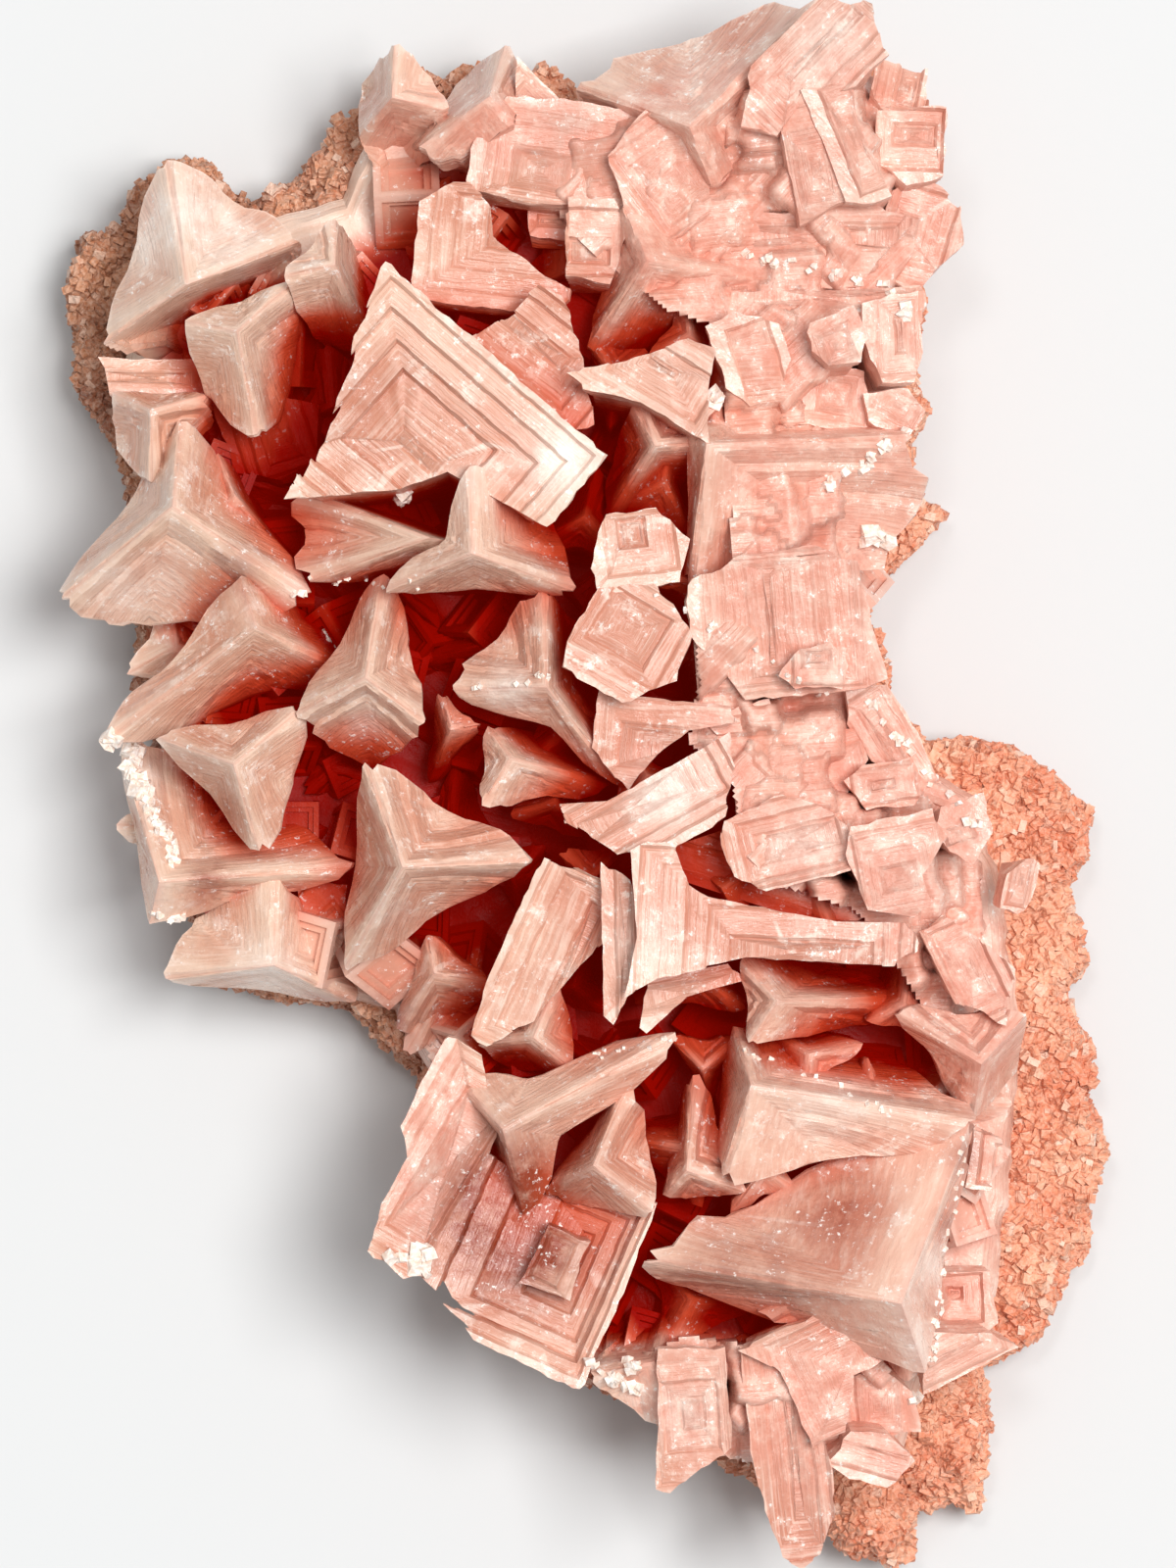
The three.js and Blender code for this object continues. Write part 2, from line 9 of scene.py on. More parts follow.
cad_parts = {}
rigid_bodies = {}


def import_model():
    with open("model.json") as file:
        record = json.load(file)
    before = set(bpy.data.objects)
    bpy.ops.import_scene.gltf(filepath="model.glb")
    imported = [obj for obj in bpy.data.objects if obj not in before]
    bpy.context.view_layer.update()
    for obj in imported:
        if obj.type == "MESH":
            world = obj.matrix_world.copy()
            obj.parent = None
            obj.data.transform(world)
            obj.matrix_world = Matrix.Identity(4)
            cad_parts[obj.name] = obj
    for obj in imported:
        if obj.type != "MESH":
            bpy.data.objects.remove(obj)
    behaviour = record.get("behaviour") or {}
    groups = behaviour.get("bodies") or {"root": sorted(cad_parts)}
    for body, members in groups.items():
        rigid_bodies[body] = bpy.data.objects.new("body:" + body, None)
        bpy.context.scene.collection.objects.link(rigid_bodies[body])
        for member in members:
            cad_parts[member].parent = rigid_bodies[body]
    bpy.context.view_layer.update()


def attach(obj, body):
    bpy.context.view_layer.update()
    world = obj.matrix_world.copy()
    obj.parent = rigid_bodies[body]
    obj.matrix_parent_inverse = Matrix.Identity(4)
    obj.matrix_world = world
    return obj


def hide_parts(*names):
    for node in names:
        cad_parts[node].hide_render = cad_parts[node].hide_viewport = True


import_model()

# Salt crust
# The crust is the matrix the crystals grew on: a slab of sandy rock salt, tan on the left and
# peach-orange on the right. It grew as one lumpy sheet of sugary grains with a broken rim, and
# the specimen rests on its flat underside.

MM = 0.001
MEASURE_SCALE = 0.1
MEASURE_ORIGIN = (600, 800)
RING_CENTRE = (600, 860)
CRUST_TOP = 11.0
CRUST_STEP = 0.85
CRUST_LUMP = 1.7
EDGE_SWELL = 0.5

# Lumps of a slab: share of the lump height, size in millimetres, shift of the seed
LUMPS = [(1.0, 4.5, 0), (0.6, 1.9, 3), (0.3, 0.9, 5)]

CRUST_OUTLINE = [
    [142, 186], [172, 164], [204, 158], [227, 188], [262, 212], [292, 188], [340, 144], [376, 96],
    [404, 66], [440, 84], [500, 66], [545, 68], [600, 94], [660, 84], [740, 52], [800, 34], [862, 34],
    [905, 76], [935, 125], [932, 200], [952, 250], [936, 293], [940, 312], [930, 336], [943, 420],
    [925, 452], [936, 487], [962, 525], [925, 562], [880, 606], [886, 640], [899, 690], [914, 735],
    [940, 764], [968, 760], [1001, 756], [1042, 776], [1082, 790], [1108, 830], [1105, 872], [1086, 910],
    [1096, 952], [1105, 985], [1092, 1012], [1110, 1070], [1116, 1128], [1132, 1150], [1121, 1190],
    [1115, 1250], [1100, 1290], [1076, 1330], [1060, 1370], [1030, 1390], [1002, 1404], [1010, 1460],
    [1000, 1540], [938, 1546], [930, 1592], [880, 1600], [850, 1570], [805, 1545], [765, 1508],
    [700, 1485], [665, 1446], [620, 1415], [560, 1388], [480, 1335], [436, 1270], [428, 1160],
    [430, 1092], [382, 1046], [350, 1022], [290, 1018], [225, 1000], [196, 930], [182, 860], [168, 790],
    [146, 722], [141, 672], [150, 620], [142, 540], [124, 464], [104, 430], [84, 400], [78, 350],
    [67, 292], [80, 240], [122, 226],
]


def place(spot, height=0.0):
    """A measured spot, tenths of a millimetre right and down, as millimetres in the specimen's frame."""
    return np.array([
        (spot[0] - MEASURE_ORIGIN[0]) * MEASURE_SCALE,
        (MEASURE_ORIGIN[1] - spot[1]) * MEASURE_SCALE,
        height,
    ])


def swell(x, y):
    """Low uneven swell of the grown salt, in millimetres."""
    return (
        0.9 * math.sin(x * 0.31 + 1.3) * math.cos(y * 0.27 - 0.4)
        + 0.5 * math.sin(x * 0.83 - y * 0.61 + 2.1)
        + 0.3 * math.cos(x * 1.37 + y * 1.11)
    )


def rough(point, scale, seed=0.0):
    """Signed roughness at a point, for lumps of the given size in millimetres."""
    return noise.noise(Vector(point) / scale + Vector((seed, seed * 0.7, seed * 1.3)))


def stepped(point, scale, seed=0.0):
    """Signed value that is level over each cell of the given size and jumps between cells."""
    return noise.cell(Vector(point) / scale + Vector((seed, seed * 0.7, seed * 1.3)))


def follow(outline, step):
    """The outline against the clock, with a point every step millimetres along it."""
    corners = [place(spot) for spot in reversed(outline)]
    path = []
    for start, end in zip(corners, corners[1:] + corners[:1]):
        count = max(1, round(float(np.linalg.norm(end - start)) / step))
        path += [start + (end - start) * k / count for k in range(count)]
    return path


def stand(name, data):
    """A new object in the scene that shows the given data."""
    made = bpy.data.objects.new(name, data)
    bpy.context.scene.collection.objects.link(made)
    return made


def carry(mesh, name, values, domain="POINT"):
    """Gives a mesh one value per point, face or face corner, which its material reads by name."""
    mesh.attributes.new(name, "FLOAT", domain).data.foreach_set("value", values)


class Growth:
    """A closed skin being built. Each face corner has its place in the grain, and how hollow it is there,
    which the pink material paints as darker shade.
    """

    def __init__(self):
        self.points = []
        self.faces = []
        self.grain = []

    def add(self, point):
        self.points.append(point)
        return len(self.points) - 1

    def face(self, corners, grain):
        self.faces.append(corners)
        self.grain.append(grain)

    def band(self, upper, lower, upper_grain, lower_grain):
        for k in range(len(upper) - 1):
            self.face(
                (upper[k], lower[k], lower[k + 1], upper[k + 1]),
                (upper_grain[k], lower_grain[k], lower_grain[k + 1], upper_grain[k + 1]),
            )

    def wrap(self, upper, lower, upper_grain, lower_grain):
        self.band(
            upper + upper[:1], lower + lower[:1],
            upper_grain + upper_grain[:1], lower_grain + lower_grain[:1],
        )

    def cap(self, loop, centre, upward, loop_grain, centre_grain):
        for k in range(len(loop)):
            m = (k + 1) % len(loop)
            if upward:
                self.face((centre, loop[k], loop[m]), (centre_grain, loop_grain[k], loop_grain[m]))
            else:
                self.face((centre, loop[m], loop[k]), (centre_grain, loop_grain[m], loop_grain[k]))

    def mesh(self, name, tone=0.5):
        skin = bpy.data.meshes.new(name)
        skin.from_pydata([tuple(float(c) * MM for c in p) for p in self.points], [], self.faces)
        layer = skin.uv_layers.new(name="grain")
        layer.data.foreach_set("uv", [c for face in self.grain for spot in face for c in spot[:2]])
        carry(skin, "hollow", [sum(spot[2:]) for face in self.grain for spot in face], "CORNER")
        carry(skin, "tone", [tone] * len(self.faces), "FACE")
        return skin


def slab(outline, rings, step, lump, seed):
    """Lumpy slab: rings of (share of the outline, height, share of the swell) from the underside up."""
    growth = Growth()
    centre = place(RING_CENTRE)
    path = follow(outline, step)
    along = [k * step for k in range(len(path))]
    loops = []
    grains = []
    for share, height, lumpy in rings:
        loop = []
        for spot in path:
            reach = float(np.linalg.norm(spot - centre))
            edge = reach * share + lumpy * EDGE_SWELL * swell(spot[1] * 1.9, spot[0] * 1.7)
            point = centre + (spot - centre) * edge / reach
            point[2] = height + lumpy * swell(point[0], point[1])
            bump = lumpy * lump * sum(part * rough(point, size, seed + shift) for part, size, shift in LUMPS)
            point[2] += bump
            point[:2] += (spot - centre)[:2] / reach * bump
            loop.append(growth.add(point))
        loops.append(loop)
        grains.append([(s, height) for s in along])
    for k in range(len(loops) - 1):
        growth.wrap(loops[k + 1], loops[k], grains[k + 1], grains[k])
    low = centre + np.array([0, 0, rings[0][1]])
    high = centre + np.array([0, 0, rings[-1][1] + rings[-1][2] * swell(centre[0], centre[1])])
    growth.cap(loops[0], growth.add(low), False, grains[0], (0, 0))
    growth.cap(loops[-1], growth.add(high), True, grains[-1], (0, 0))
    return growth


CRUST_RINGS = [
    (0.975, 0.0, 0), (0.98, 0.5, 0.4), (0.986, 1.2, 0.5), (0.992, 2.0, 0.6), (0.996, 2.9, 0.7),
    (0.999, 3.8, 0.8), (1.0, 4.7, 0.8), (1.0, 5.6, 0.8), (0.999, 6.5, 0.9), (0.996, 7.4, 1),
    (0.99, 8.3, 1), (0.983, 9.2, 1), (0.972, 9.9, 1), (0.96, 10.4, 1), (0.948, 10.8, 1),
]
CRUST_RINGS += [(0.936 - 0.012 * k, CRUST_TOP, 1) for k in range(28)]
CRUST_RINGS += [(0.58 - 0.08 * k, CRUST_TOP, 1) for k in range(7)]
crust = stand("crust", slab(CRUST_OUTLINE, CRUST_RINGS, CRUST_STEP, CRUST_LUMP, seed=2.0).mesh("crust"))


class Nodes:
    """A node tree, written one node at a time."""

    def __init__(self, tree):
        self.tree = tree

    def feed(self, socket, value):
        """Sets a socket to a plain value, or links it to the socket that makes the value."""
        if isinstance(value, bpy.types.NodeSocket):
            self.tree.links.new(value, socket)
        else:
            socket.default_value = value

    def feed_named(self, node, values):
        """Feeds the sockets in use by name, and returns the output in use."""
        for name, value in values.items():
            self.feed(next(s for s in node.inputs if s.name == name and s.enabled), value)
        return next(s for s in node.outputs if s.enabled)

    def node(self, kind, inputs=None, **settings):
        made = self.tree.nodes.new(kind)
        for key, value in settings.items():
            setattr(made, key, value)
        for key, value in (inputs or {}).items():
            self.feed(made.inputs[key], value)
        return made


class Recipe(Nodes):
    """A material's node tree."""

    def __init__(self, name):
        self.material = bpy.data.materials.new(name)
        self.material.use_nodes = True
        super().__init__(self.material.node_tree)
        self.shader = self.tree.nodes["Principled BSDF"]

    def shade(self, **inputs):
        for key, value in inputs.items():
            self.feed(self.shader.inputs[key.replace("_", " ")], value)

    def mix(self, factor, first, second, blend="MIX"):
        made = self.node("ShaderNodeMix", data_type="RGBA", blend_type=blend)
        return self.feed_named(made, {"Factor": factor, "A": first, "B": second})

    def add(self, first, second):
        return self.node("ShaderNodeMath", {0: first, 1: second}, operation="ADD").outputs[0]

    def times(self, first, second):
        return self.node("ShaderNodeMath", {0: first, 1: second}, operation="MULTIPLY").outputs[0]

    def range(self, value, low, high, to_low=0.0, to_high=1.0):
        return self.node("ShaderNodeMapRange", {
            "Value": value, "From Min": low, "From Max": high, "To Min": to_low, "To Max": to_high,
        }).outputs[0]

    def here(self):
        return self.node("ShaderNodeTexCoord").outputs["Object"]

    def carried(self, name):
        """A value that the mesh carries under this name."""
        return self.node("ShaderNodeAttribute", attribute_name=name).outputs["Fac"]

    def noise(self, where, scale, detail, roughness=0.5):
        return self.node("ShaderNodeTexNoise", {
            "Vector": where, "Scale": scale, "Detail": detail, "Roughness": roughness,
        }).outputs["Fac"]

    def bump(self, height, strength, distance):
        return self.node("ShaderNodeBump", {
            "Height": height, "Strength": strength, "Distance": distance,
        }).outputs[0]


def hue(red, green, blue):
    """A colour as seen, 0 to 255, as the linear colour that a shader takes."""
    linear = [((c / 255 + 0.055) / 1.055) ** 2.4 if c > 10 else c / 255 / 12.92 for c in (red, green, blue)]
    return (*linear, 1.0)


# Colours of the sandy salt, first at the left and then at the right
SAND_DARK = hue(150, 84, 54), hue(220, 122, 84)
SAND_PALE = hue(200, 136, 98), hue(242, 176, 142)
SUGAR = hue(255, 232, 212)
WHITE_GRAIN = hue(252, 226, 208)
HALITE_IOR = 1.54


def sandy_salt():
    recipe = Recipe("sandy_salt")
    here = recipe.here()
    left_to_right = recipe.range(recipe.node("ShaderNodeSeparateXYZ", {0: here}).outputs["X"], -0.05, 0.04)
    tone = recipe.carried("tone")
    patches = recipe.noise(here, scale=140.0, detail=5.0)
    grains = recipe.node("ShaderNodeTexVoronoi", {"Vector": here, "Scale": 1300.0}).outputs["Distance"]
    sugar = recipe.noise(here, scale=2400.0, detail=3.0)
    shade = recipe.range(recipe.add(patches, recipe.range(tone, 0.0, 1.0, -0.1, 0.1)), 0.3, 0.7)
    left, right = [recipe.mix(shade, dark, pale) for dark, pale in zip(SAND_DARK, SAND_PALE)]
    sugared = recipe.times(recipe.range(sugar, 0.35, 0.75), 0.35)
    bright = recipe.mix(sugared, recipe.mix(left_to_right, left, right), SUGAR)
    recipe.shade(
        Base_Color=recipe.mix(recipe.range(tone, 0.84, 1.0, 0.0, 0.6), bright, WHITE_GRAIN),
        Roughness=recipe.range(sugar, 0.3, 0.7, 0.7, 0.3),
        Normal=recipe.bump(recipe.add(recipe.times(grains, -0.8), sugar), strength=0.8, distance=0.0005),
        IOR=HALITE_IOR, Specular_IOR_Level=0.35,
    )
    return recipe.material


crust_material = sandy_salt()
crust.data.materials.append(crust_material)
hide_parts("salt_crust")
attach(crust, "root")

# Pink crystals
# The crystals are hopper-grown halite: cube corners that point up, each with three arms and three
# hollow faces stepped down in terraces, and plates and blocks seen square on. They grew into each
# other out of one bed, so they are one piece of cloudy pink salt. Their hollows are painted darker as
# shade, and the gaps between them are painted red and deep red as shade, with a faint painted red glow.

BED_TOP = 15.5
BED_BOTTOM = 6.0
ROOT_HEIGHT = 13.7
TIP_FLOOR = 16.5
FAN_SHARE = 0.09
EVEN_SHARE = 2 / 3
SHARE_RANGE = (0.12, 0.97)
PLATE_LEAN = 0.13
PLATE_GROWTH = 1.06
BED_STEP = 1.6
BED_LUMP = 0.8

# Near corner with its height, the three arm tips against the clock, outer point of each hollow face
CORNERS = [
    [[192, 292, 31], [[170, 162], [105, 350], [305, 246]], [[133, 262], [185, 345], []]],
    [[243, 340, 34], [[298, 290], [190, 328], [263, 443]], [[], [208, 400], [300, 372]]],
    [[343, 272, 32], [[343, 225], [291, 283], [377, 342]], [[], [318, 340], [368, 262]]],
    [[155, 418, 28], [[115, 400], [155, 492], [212, 402]], [[118, 458], [], []]],
    [[178, 518, 35], [[185, 430], [63, 610], [312, 606]], [[131, 512], [150, 636], [258, 528]]],
    [[240, 505, 27], [[222, 462], [215, 545], [300, 575]], [[], [], [275, 520]]],
    [[262, 640, 33], [[245, 590], [108, 757], [351, 682]], [[], [250, 709], [318, 628]]],
    [[240, 780, 35], [[163, 752], [265, 868], [305, 726]], [[], [298, 800], []]],
    [[163, 900, 29], [[122, 762], [152, 943], [357, 885]], [[], [], []]],
    [[280, 985, 27], [[281, 897], [168, 999], [361, 1023]], [[198, 938], [], []]],
    [[412, 884, 39], [[373, 778], [352, 988], [541, 877]], [[], [], []]],
    [[374, 692, 37], [[392, 586], [303, 728], [434, 737]], [[], [378, 786], [420, 672]]],
    [[460, 745, 28], [[447, 708], [437, 799], [487, 741]], [[], [], []]],
    [[440, 550, 37], [[316, 502], [316, 593], [466, 556]], [[312, 548], [398, 580], [400, 506]]],
    [[483, 567, 42], [[480, 478], [395, 602], [583, 603]], [[455, 552], [486, 600], [565, 535]]],
    [[660, 268, 34], [[637, 205], [603, 356], [850, 297]], [[], [700, 345], []]],
    [[703, 133, 35], [[838, 2], [590, 88], [728, 190]], [[705, 38], [655, 175], [795, 125]]],
    [[668, 456, 35], [[648, 408], [620, 532], [718, 453]], [[627, 462], [690, 505], [692, 424]]],
    [[720, 455, 38], [[702, 432], [703, 603], [930, 447]], [[], [903, 580], [815, 424]]],
    [[558, 702, 38], [[556, 604], [463, 704], [636, 803]], [[508, 652], [562, 742], [612, 695]]],
    [[521, 773, 33], [[498, 741], [492, 822], [622, 800]], [[], [552, 813], [575, 752]]],
    [[793, 1020, 36], [[757, 977], [768, 1061], [927, 1020]], [[762, 1020], [858, 1050], [850, 985]]],
    [[765, 1105, 39], [[748, 1047], [737, 1198], [987, 1143]], [[735, 1120], [845, 1182], [868, 1058]]],
    [[917, 1326, 42], [[988, 1145], [671, 1284], [943, 1399]], [[748, 1238], [712, 1318], []]],
    [[442, 994, 25], [[435, 955], [404, 1050], [500, 1003]], [[], [455, 1054], []]],
    [[545, 1058, 32], [[567, 1003], [491, 1064], [583, 1091]], [[518, 1035], [522, 1093], [584, 1050]]],
    [[513, 1150, 37], [[462, 1098], [536, 1238], [690, 1058]], [[], [572, 1158], [540, 1100]]],
    [[605, 1187, 36], [[640, 1108], [556, 1214], [666, 1234]], [[], [602, 1231], [662, 1172]]],
    [[700, 1193, 33], [[707, 1097], [676, 1218], [761, 1213]], [[], [716, 1221], []]],
    [[1000, 1085, 32], [[1046, 1034], [917, 1034], [993, 1142]], [[985, 1035], [950, 1075], [1040, 1095]]],
    [[400, 100, 27], [[402, 46], [366, 138], [452, 112]], [[368, 82], [405, 152], [440, 78]]],
    [[500, 100, 30], [[515, 44], [428, 150], [525, 128]], [[465, 82], [470, 160], [534, 85]]],
    [[668, 1388, 29], [[690, 1332], [603, 1400], [690, 1455]], [[640, 1358], [625, 1425], [700, 1395]]],
]

# Height, slope across and along, recess, centre, outline
PLATES = [
    [20, 0, 0, 0, [155, 383], [[104, 365], [202, 367], [205, 400], [112, 402]]],
    [20, 0, 0.1, 0, [268, 440], [[215, 402], [268, 400], [320, 415], [318, 470], [285, 485], [240, 478]]],
    [19, 0, 0, 0, [325, 935], [[303, 905], [352, 905], [352, 950], [336, 981], [303, 943]]],
    [39, 0.16, 0, 2.2, [450, 450],
      [[398, 281], [608, 465], [553, 535], [456, 480], [402, 500], [302, 507]]],
    [31, 0.05, -0.1, 0.9, [538, 388],
      [[468, 358], [518, 323], [548, 299], [572, 306], [592, 366], [603, 432], [572, 442]]],
    [27, 0, 0.05, 0.8, [478, 258],
      [[432, 210], [455, 193], [480, 191], [500, 208], [502, 238], [548, 275], [577, 293], [562, 318],
      [421, 303]]],
    [22, 0, 0, 0, [545, 88], [[528, 57], [568, 98], [560, 112], [525, 110]]],
    [27, 0.03, 0.05, 0.8, [560, 150],
      [[520, 102], [575, 104], [660, 118], [655, 152], [612, 200], [560, 208], [482, 190], [483, 152]]],
    [23, 0, 0, 0, [560, 222], [[540, 205], [580, 207], [580, 246], [541, 240]]],
    [28, 0, 0.03, 0.6, [603, 245], [[580, 203], [626, 205], [640, 230], [622, 290], [578, 280]]],
    [24, 0, 0, 0, [768, 190], [[722, 165], [800, 155], [818, 205], [790, 225], [725, 215]]],
    [28, 0.02, 0.03, 0.6, [800, 255],
      [[720, 215], [800, 220], [870, 205], [925, 226], [870, 292], [760, 290], [690, 240]]],
    [25, 0, 0, 0.5, [922, 90], [[898, 57], [947, 68], [948, 110], [905, 113], [893, 90]]],
    [28, 0, 0, 0.7, [930, 143], [[897, 112], [964, 111], [961, 179], [925, 186], [893, 160]]],
    [26, -0.15, 0, 0.6, [932, 238],
      [[912, 195], [948, 180], [978, 212], [983, 248], [955, 268], [937, 293], [905, 285], [898, 240]]],
    [33, 0, 0.1, 0, [822, 165], [[819, 100], [836, 145], [862, 203], [816, 228], [797, 135]]],
    [34, 0, 0.08, 0, [862, 150], [[820, 100], [868, 88], [872, 125], [905, 198], [880, 208], [862, 204]]],
    [35, 0.04, -0.06, 0.5, [830, 66],
      [[838, 2], [886, 10], [899, 60], [868, 90], [818, 102], [795, 135], [760, 128], [770, 70]]],
    [29, 0, 0, 0, [840, 315], [[745, 300], [880, 298], [935, 293], [942, 312], [930, 335], [745, 325]]],
    [33, 0, 0, 0.5, [765, 365],
      [[722, 337], [752, 322], [793, 333], [803, 368], [795, 395], [765, 413], [742, 395], [728, 352]]],
    [35, 0, 0, 0, [852, 342], [[826, 332], [868, 316], [882, 345], [876, 370], [845, 372], [828, 360]]],
    [31, -0.1, 0, 0, [905, 350], [[880, 312], [935, 300], [938, 360], [930, 388], [900, 390], [882, 350]]],
    [28, -0.1, 0, 0, [912, 422], [[885, 405], [925, 398], [943, 420], [925, 450], [888, 430]]],
    [37, 0, 0.15, 0.6, [670, 394],
      [[583, 383], [640, 370], [700, 350], [725, 362], [722, 400], [718, 450], [655, 411], [600, 399]]],
    [33, 0, 0, 0, [728, 411], [[718, 402], [730, 399], [736, 415], [722, 425]]],
    [35, 0, 0, 1.0, [655, 562],
      [[620, 528], [668, 522], [700, 552], [690, 592], [655, 600], [613, 603], [606, 580], [613, 545]]],
    [37, 0.05, 0, 0.8, [642, 655],
      [[612, 604], [668, 600], [702, 648], [686, 692], [635, 714], [577, 680], [583, 655]]],
    [34, 0, 0.1, 0.7, [655, 738],
      [[612, 702], [640, 712], [738, 722], [748, 737], [700, 745], [662, 775], [642, 802], [606, 762]]],
    [32, -0.05, 0.1, 0.6, [763, 765],
      [[703, 722], [745, 728], [782, 718], [792, 760], [798, 812], [770, 819], [741, 790], [735, 752]]],
    [36, -0.05, 0.05, 0.5, [800, 640],
      [[705, 600], [760, 572], [830, 563], [868, 578], [885, 640], [899, 690], [860, 702], [762, 710],
      [712, 650]]],
    [38, 0, 0, 0, [830, 682], [[795, 690], [815, 663], [845, 658], [863, 680], [855, 702], [812, 702]]],
    [28, 0, 0.05, 0, [905, 750],
      [[865, 705], [905, 700], [938, 755], [955, 795], [925, 798], [890, 775], [868, 740]]],
    [38, 0.12, -0.05, 0.8, [662, 815],
      [[576, 820], [622, 817], [738, 752], [744, 775], [736, 832], [682, 866], [632, 868], [581, 838]]],
    [37, 0.05, 0, 0.7, [800, 860],
      [[740, 838], [797, 812], [850, 828], [868, 850], [862, 886], [782, 906], [752, 892], [738, 862]]],
    [38, 0.05, 0, 0, [905, 882],
      [[868, 845], [945, 830], [962, 852], [938, 892], [946, 918], [930, 933], [885, 925], [864, 872]]],
    [34, 0, 0, 0, [983, 846], [[955, 846], [960, 825], [1000, 812], [1010, 848], [991, 877], [968, 868]]],
    [31, 0, 0, 0, [903, 800], [[865, 797], [880, 782], [925, 775], [942, 800], [930, 820], [885, 825]]],
    [31, -0.1, 0, 0.9, [990, 988],
      [[940, 952], [962, 936], [985, 945], [1032, 988], [1030, 1012], [1022, 1040], [975, 1022]]],
    [24, 0, 0, 0, [1040, 903], [[1022, 925], [1028, 892], [1055, 876], [1060, 885], [1052, 920],
    [1038, 932]]],
    [22, 0, 0, 1.2, [1014, 1186], [[995, 1155], [1028, 1165], [1042, 1190], [1010, 1216], [988, 1210]]],
    [21, 0, 0, 0.6, [985, 1328], [[952, 1302], [1010, 1300], [1018, 1350], [1000, 1360], [948, 1356]]],
    [24, 0, 0, 0, [980, 1384], [[947, 1362], [1010, 1362], [1036, 1376], [944, 1422]]],
    [40, -0.17, 0, 1.0, [692, 945],
      [[645, 870], [662, 863], [688, 866], [702, 905], [720, 916], [850, 940], [912, 941], [921, 960],
        [905, 984], [760, 976], [670, 995], [640, 1013], [652, 955]]],
    [37, 0, 0.05, 0, [632, 960], [[614, 883], [642, 900], [654, 955], [640, 1010], [626, 1040],
    [617, 1030]]],
    [32, 0, 0.1, 0, [688, 1008], [[663, 998], [738, 985], [755, 1000], [700, 1016], [661, 1051],
    [655, 1045]]],
    [34, 0.05, 0.1, 1.2, [562, 970],
      [[556, 878], [619, 905], [620, 955], [592, 985], [545, 1040], [500, 1062], [487, 1050], [500, 1000]]],
    [32, 0.05, 0.05, 0.8, [447, 1175],
      [[458, 1060], [490, 1080], [505, 1160], [448, 1258], [435, 1292], [405, 1294], [381, 1268],
        [392, 1225], [418, 1180], [412, 1150], [432, 1108]]],
    [31, 0.03, 0.03, 3.2, [555, 1278],
      [[470, 1165], [560, 1215], [664, 1230], [642, 1290], [590, 1409], [488, 1360], [430, 1296],
      [447, 1258]]],
    [31, 0, 0, 0, [567, 1285], [[560, 1249], [599, 1268], [580, 1321], [534, 1305]]],
    [30, 0.05, 0.1, 0.7, [708, 1445],
      [[672, 1376], [737, 1378], [745, 1475], [700, 1505], [685, 1518], [671, 1515], [674, 1450]]],
    [28, 0, 0.25, 0.8, [808, 1490],
      [[757, 1378], [800, 1385], [830, 1440], [847, 1500], [849, 1545], [836, 1582], [818, 1594],
      [800, 1584],
        [783, 1540], [768, 1480]]],
    [27, 0, 0.1, 0, [888, 1490], [[845, 1492], [870, 1463], [905, 1463], [932, 1490], [905, 1517],
    [868, 1507]]],
    [31, 0, 0.05, 0.5, [840, 1395],
      [[757, 1377], [830, 1345], [902, 1340], [907, 1385], [870, 1403], [862, 1460], [830, 1472],
      [800, 1400]]],
    [30, 0, 0, 0.5, [685, 190],
      [[622, 160], [660, 118], [700, 135], [722, 165], [725, 215], [660, 262], [640, 215]]],
    [27, 0, 0, 0, [842, 402], [[803, 368], [880, 380], [888, 430], [860, 440], [800, 425]]],
    [28, 0, 0, 0, [838, 788], [[800, 765], [870, 745], [885, 775], [868, 800], [850, 828], [797, 812]]],
    [24, 0, 0, 0, [903, 1432], [[870, 1405], [905, 1402], [930, 1420], [938, 1460], [868, 1465]]],
    [30, -0.1, 0, 0, [750, 908],
      [[688, 866], [738, 850], [752, 892], [850, 915], [878, 930], [850, 948], [702, 900]]],
]

BED_OUTLINE = [
    [172, 205], [262, 222], [345, 190], [378, 118], [405, 88], [460, 110], [520, 78], [600, 112], [720, 78],
    [850, 44], [915, 88], [938, 150], [930, 215], [945, 262], [926, 330], [920, 430], [930, 525],
    [872, 595], [882, 680], [915, 762], [1000, 812], [1028, 900], [1040, 1000], [1046, 1100], [1036, 1220],
    [1022, 1330], [958, 1396], [926, 1490], [852, 1512], [826, 1556], [768, 1480], [700, 1478], [610, 1398],
    [505, 1345], [448, 1280], [440, 1100], [398, 1036], [300, 1004], [214, 968], [178, 880], [158, 760],
    [150, 640], [150, 540], [138, 450], [120, 360], [132, 262],
]


def tip_heights(apex, tips):
    """Heights of the three tips when the arms are the edges of one cube corner seen from above."""
    angles = [math.atan2(tip[1] - apex[1], tip[0] - apex[0]) for tip in tips]
    weights = [math.sin(2 * (angles[(k + 1) % 3] - angles[(k + 2) % 3])) for k in range(3)]
    shares = [2 * weight / sum(weights) for weight in weights]
    square = all(SHARE_RANGE[0] < share < SHARE_RANGE[1] for share in shares)
    heights = []
    for tip, share in zip(tips, shares):
        share = share if square else EVEN_SHARE
        reach = math.hypot(tip[0] - apex[0], tip[1] - apex[1])
        heights.append(max(apex[2] - reach * math.sqrt((1 - share) / share), TIP_FLOOR))
    return heights


def outer_point(apex, first, second, measured):
    """Outer point of a hollow face, laid in the plane of its two arms."""
    if not measured:
        return (first + second) / 2
    a, b, target = first - apex, second - apex, place(measured) - apex
    area = a[0] * b[1] - a[1] * b[0]
    along_a = (target[0] * b[1] - target[1] * b[0]) / area
    along_b = (a[0] * target[1] - a[1] * target[0]) / area
    outer = apex + a * along_a + b * along_b
    outer[2] = max(outer[2], TIP_FLOOR - 1)
    return outer


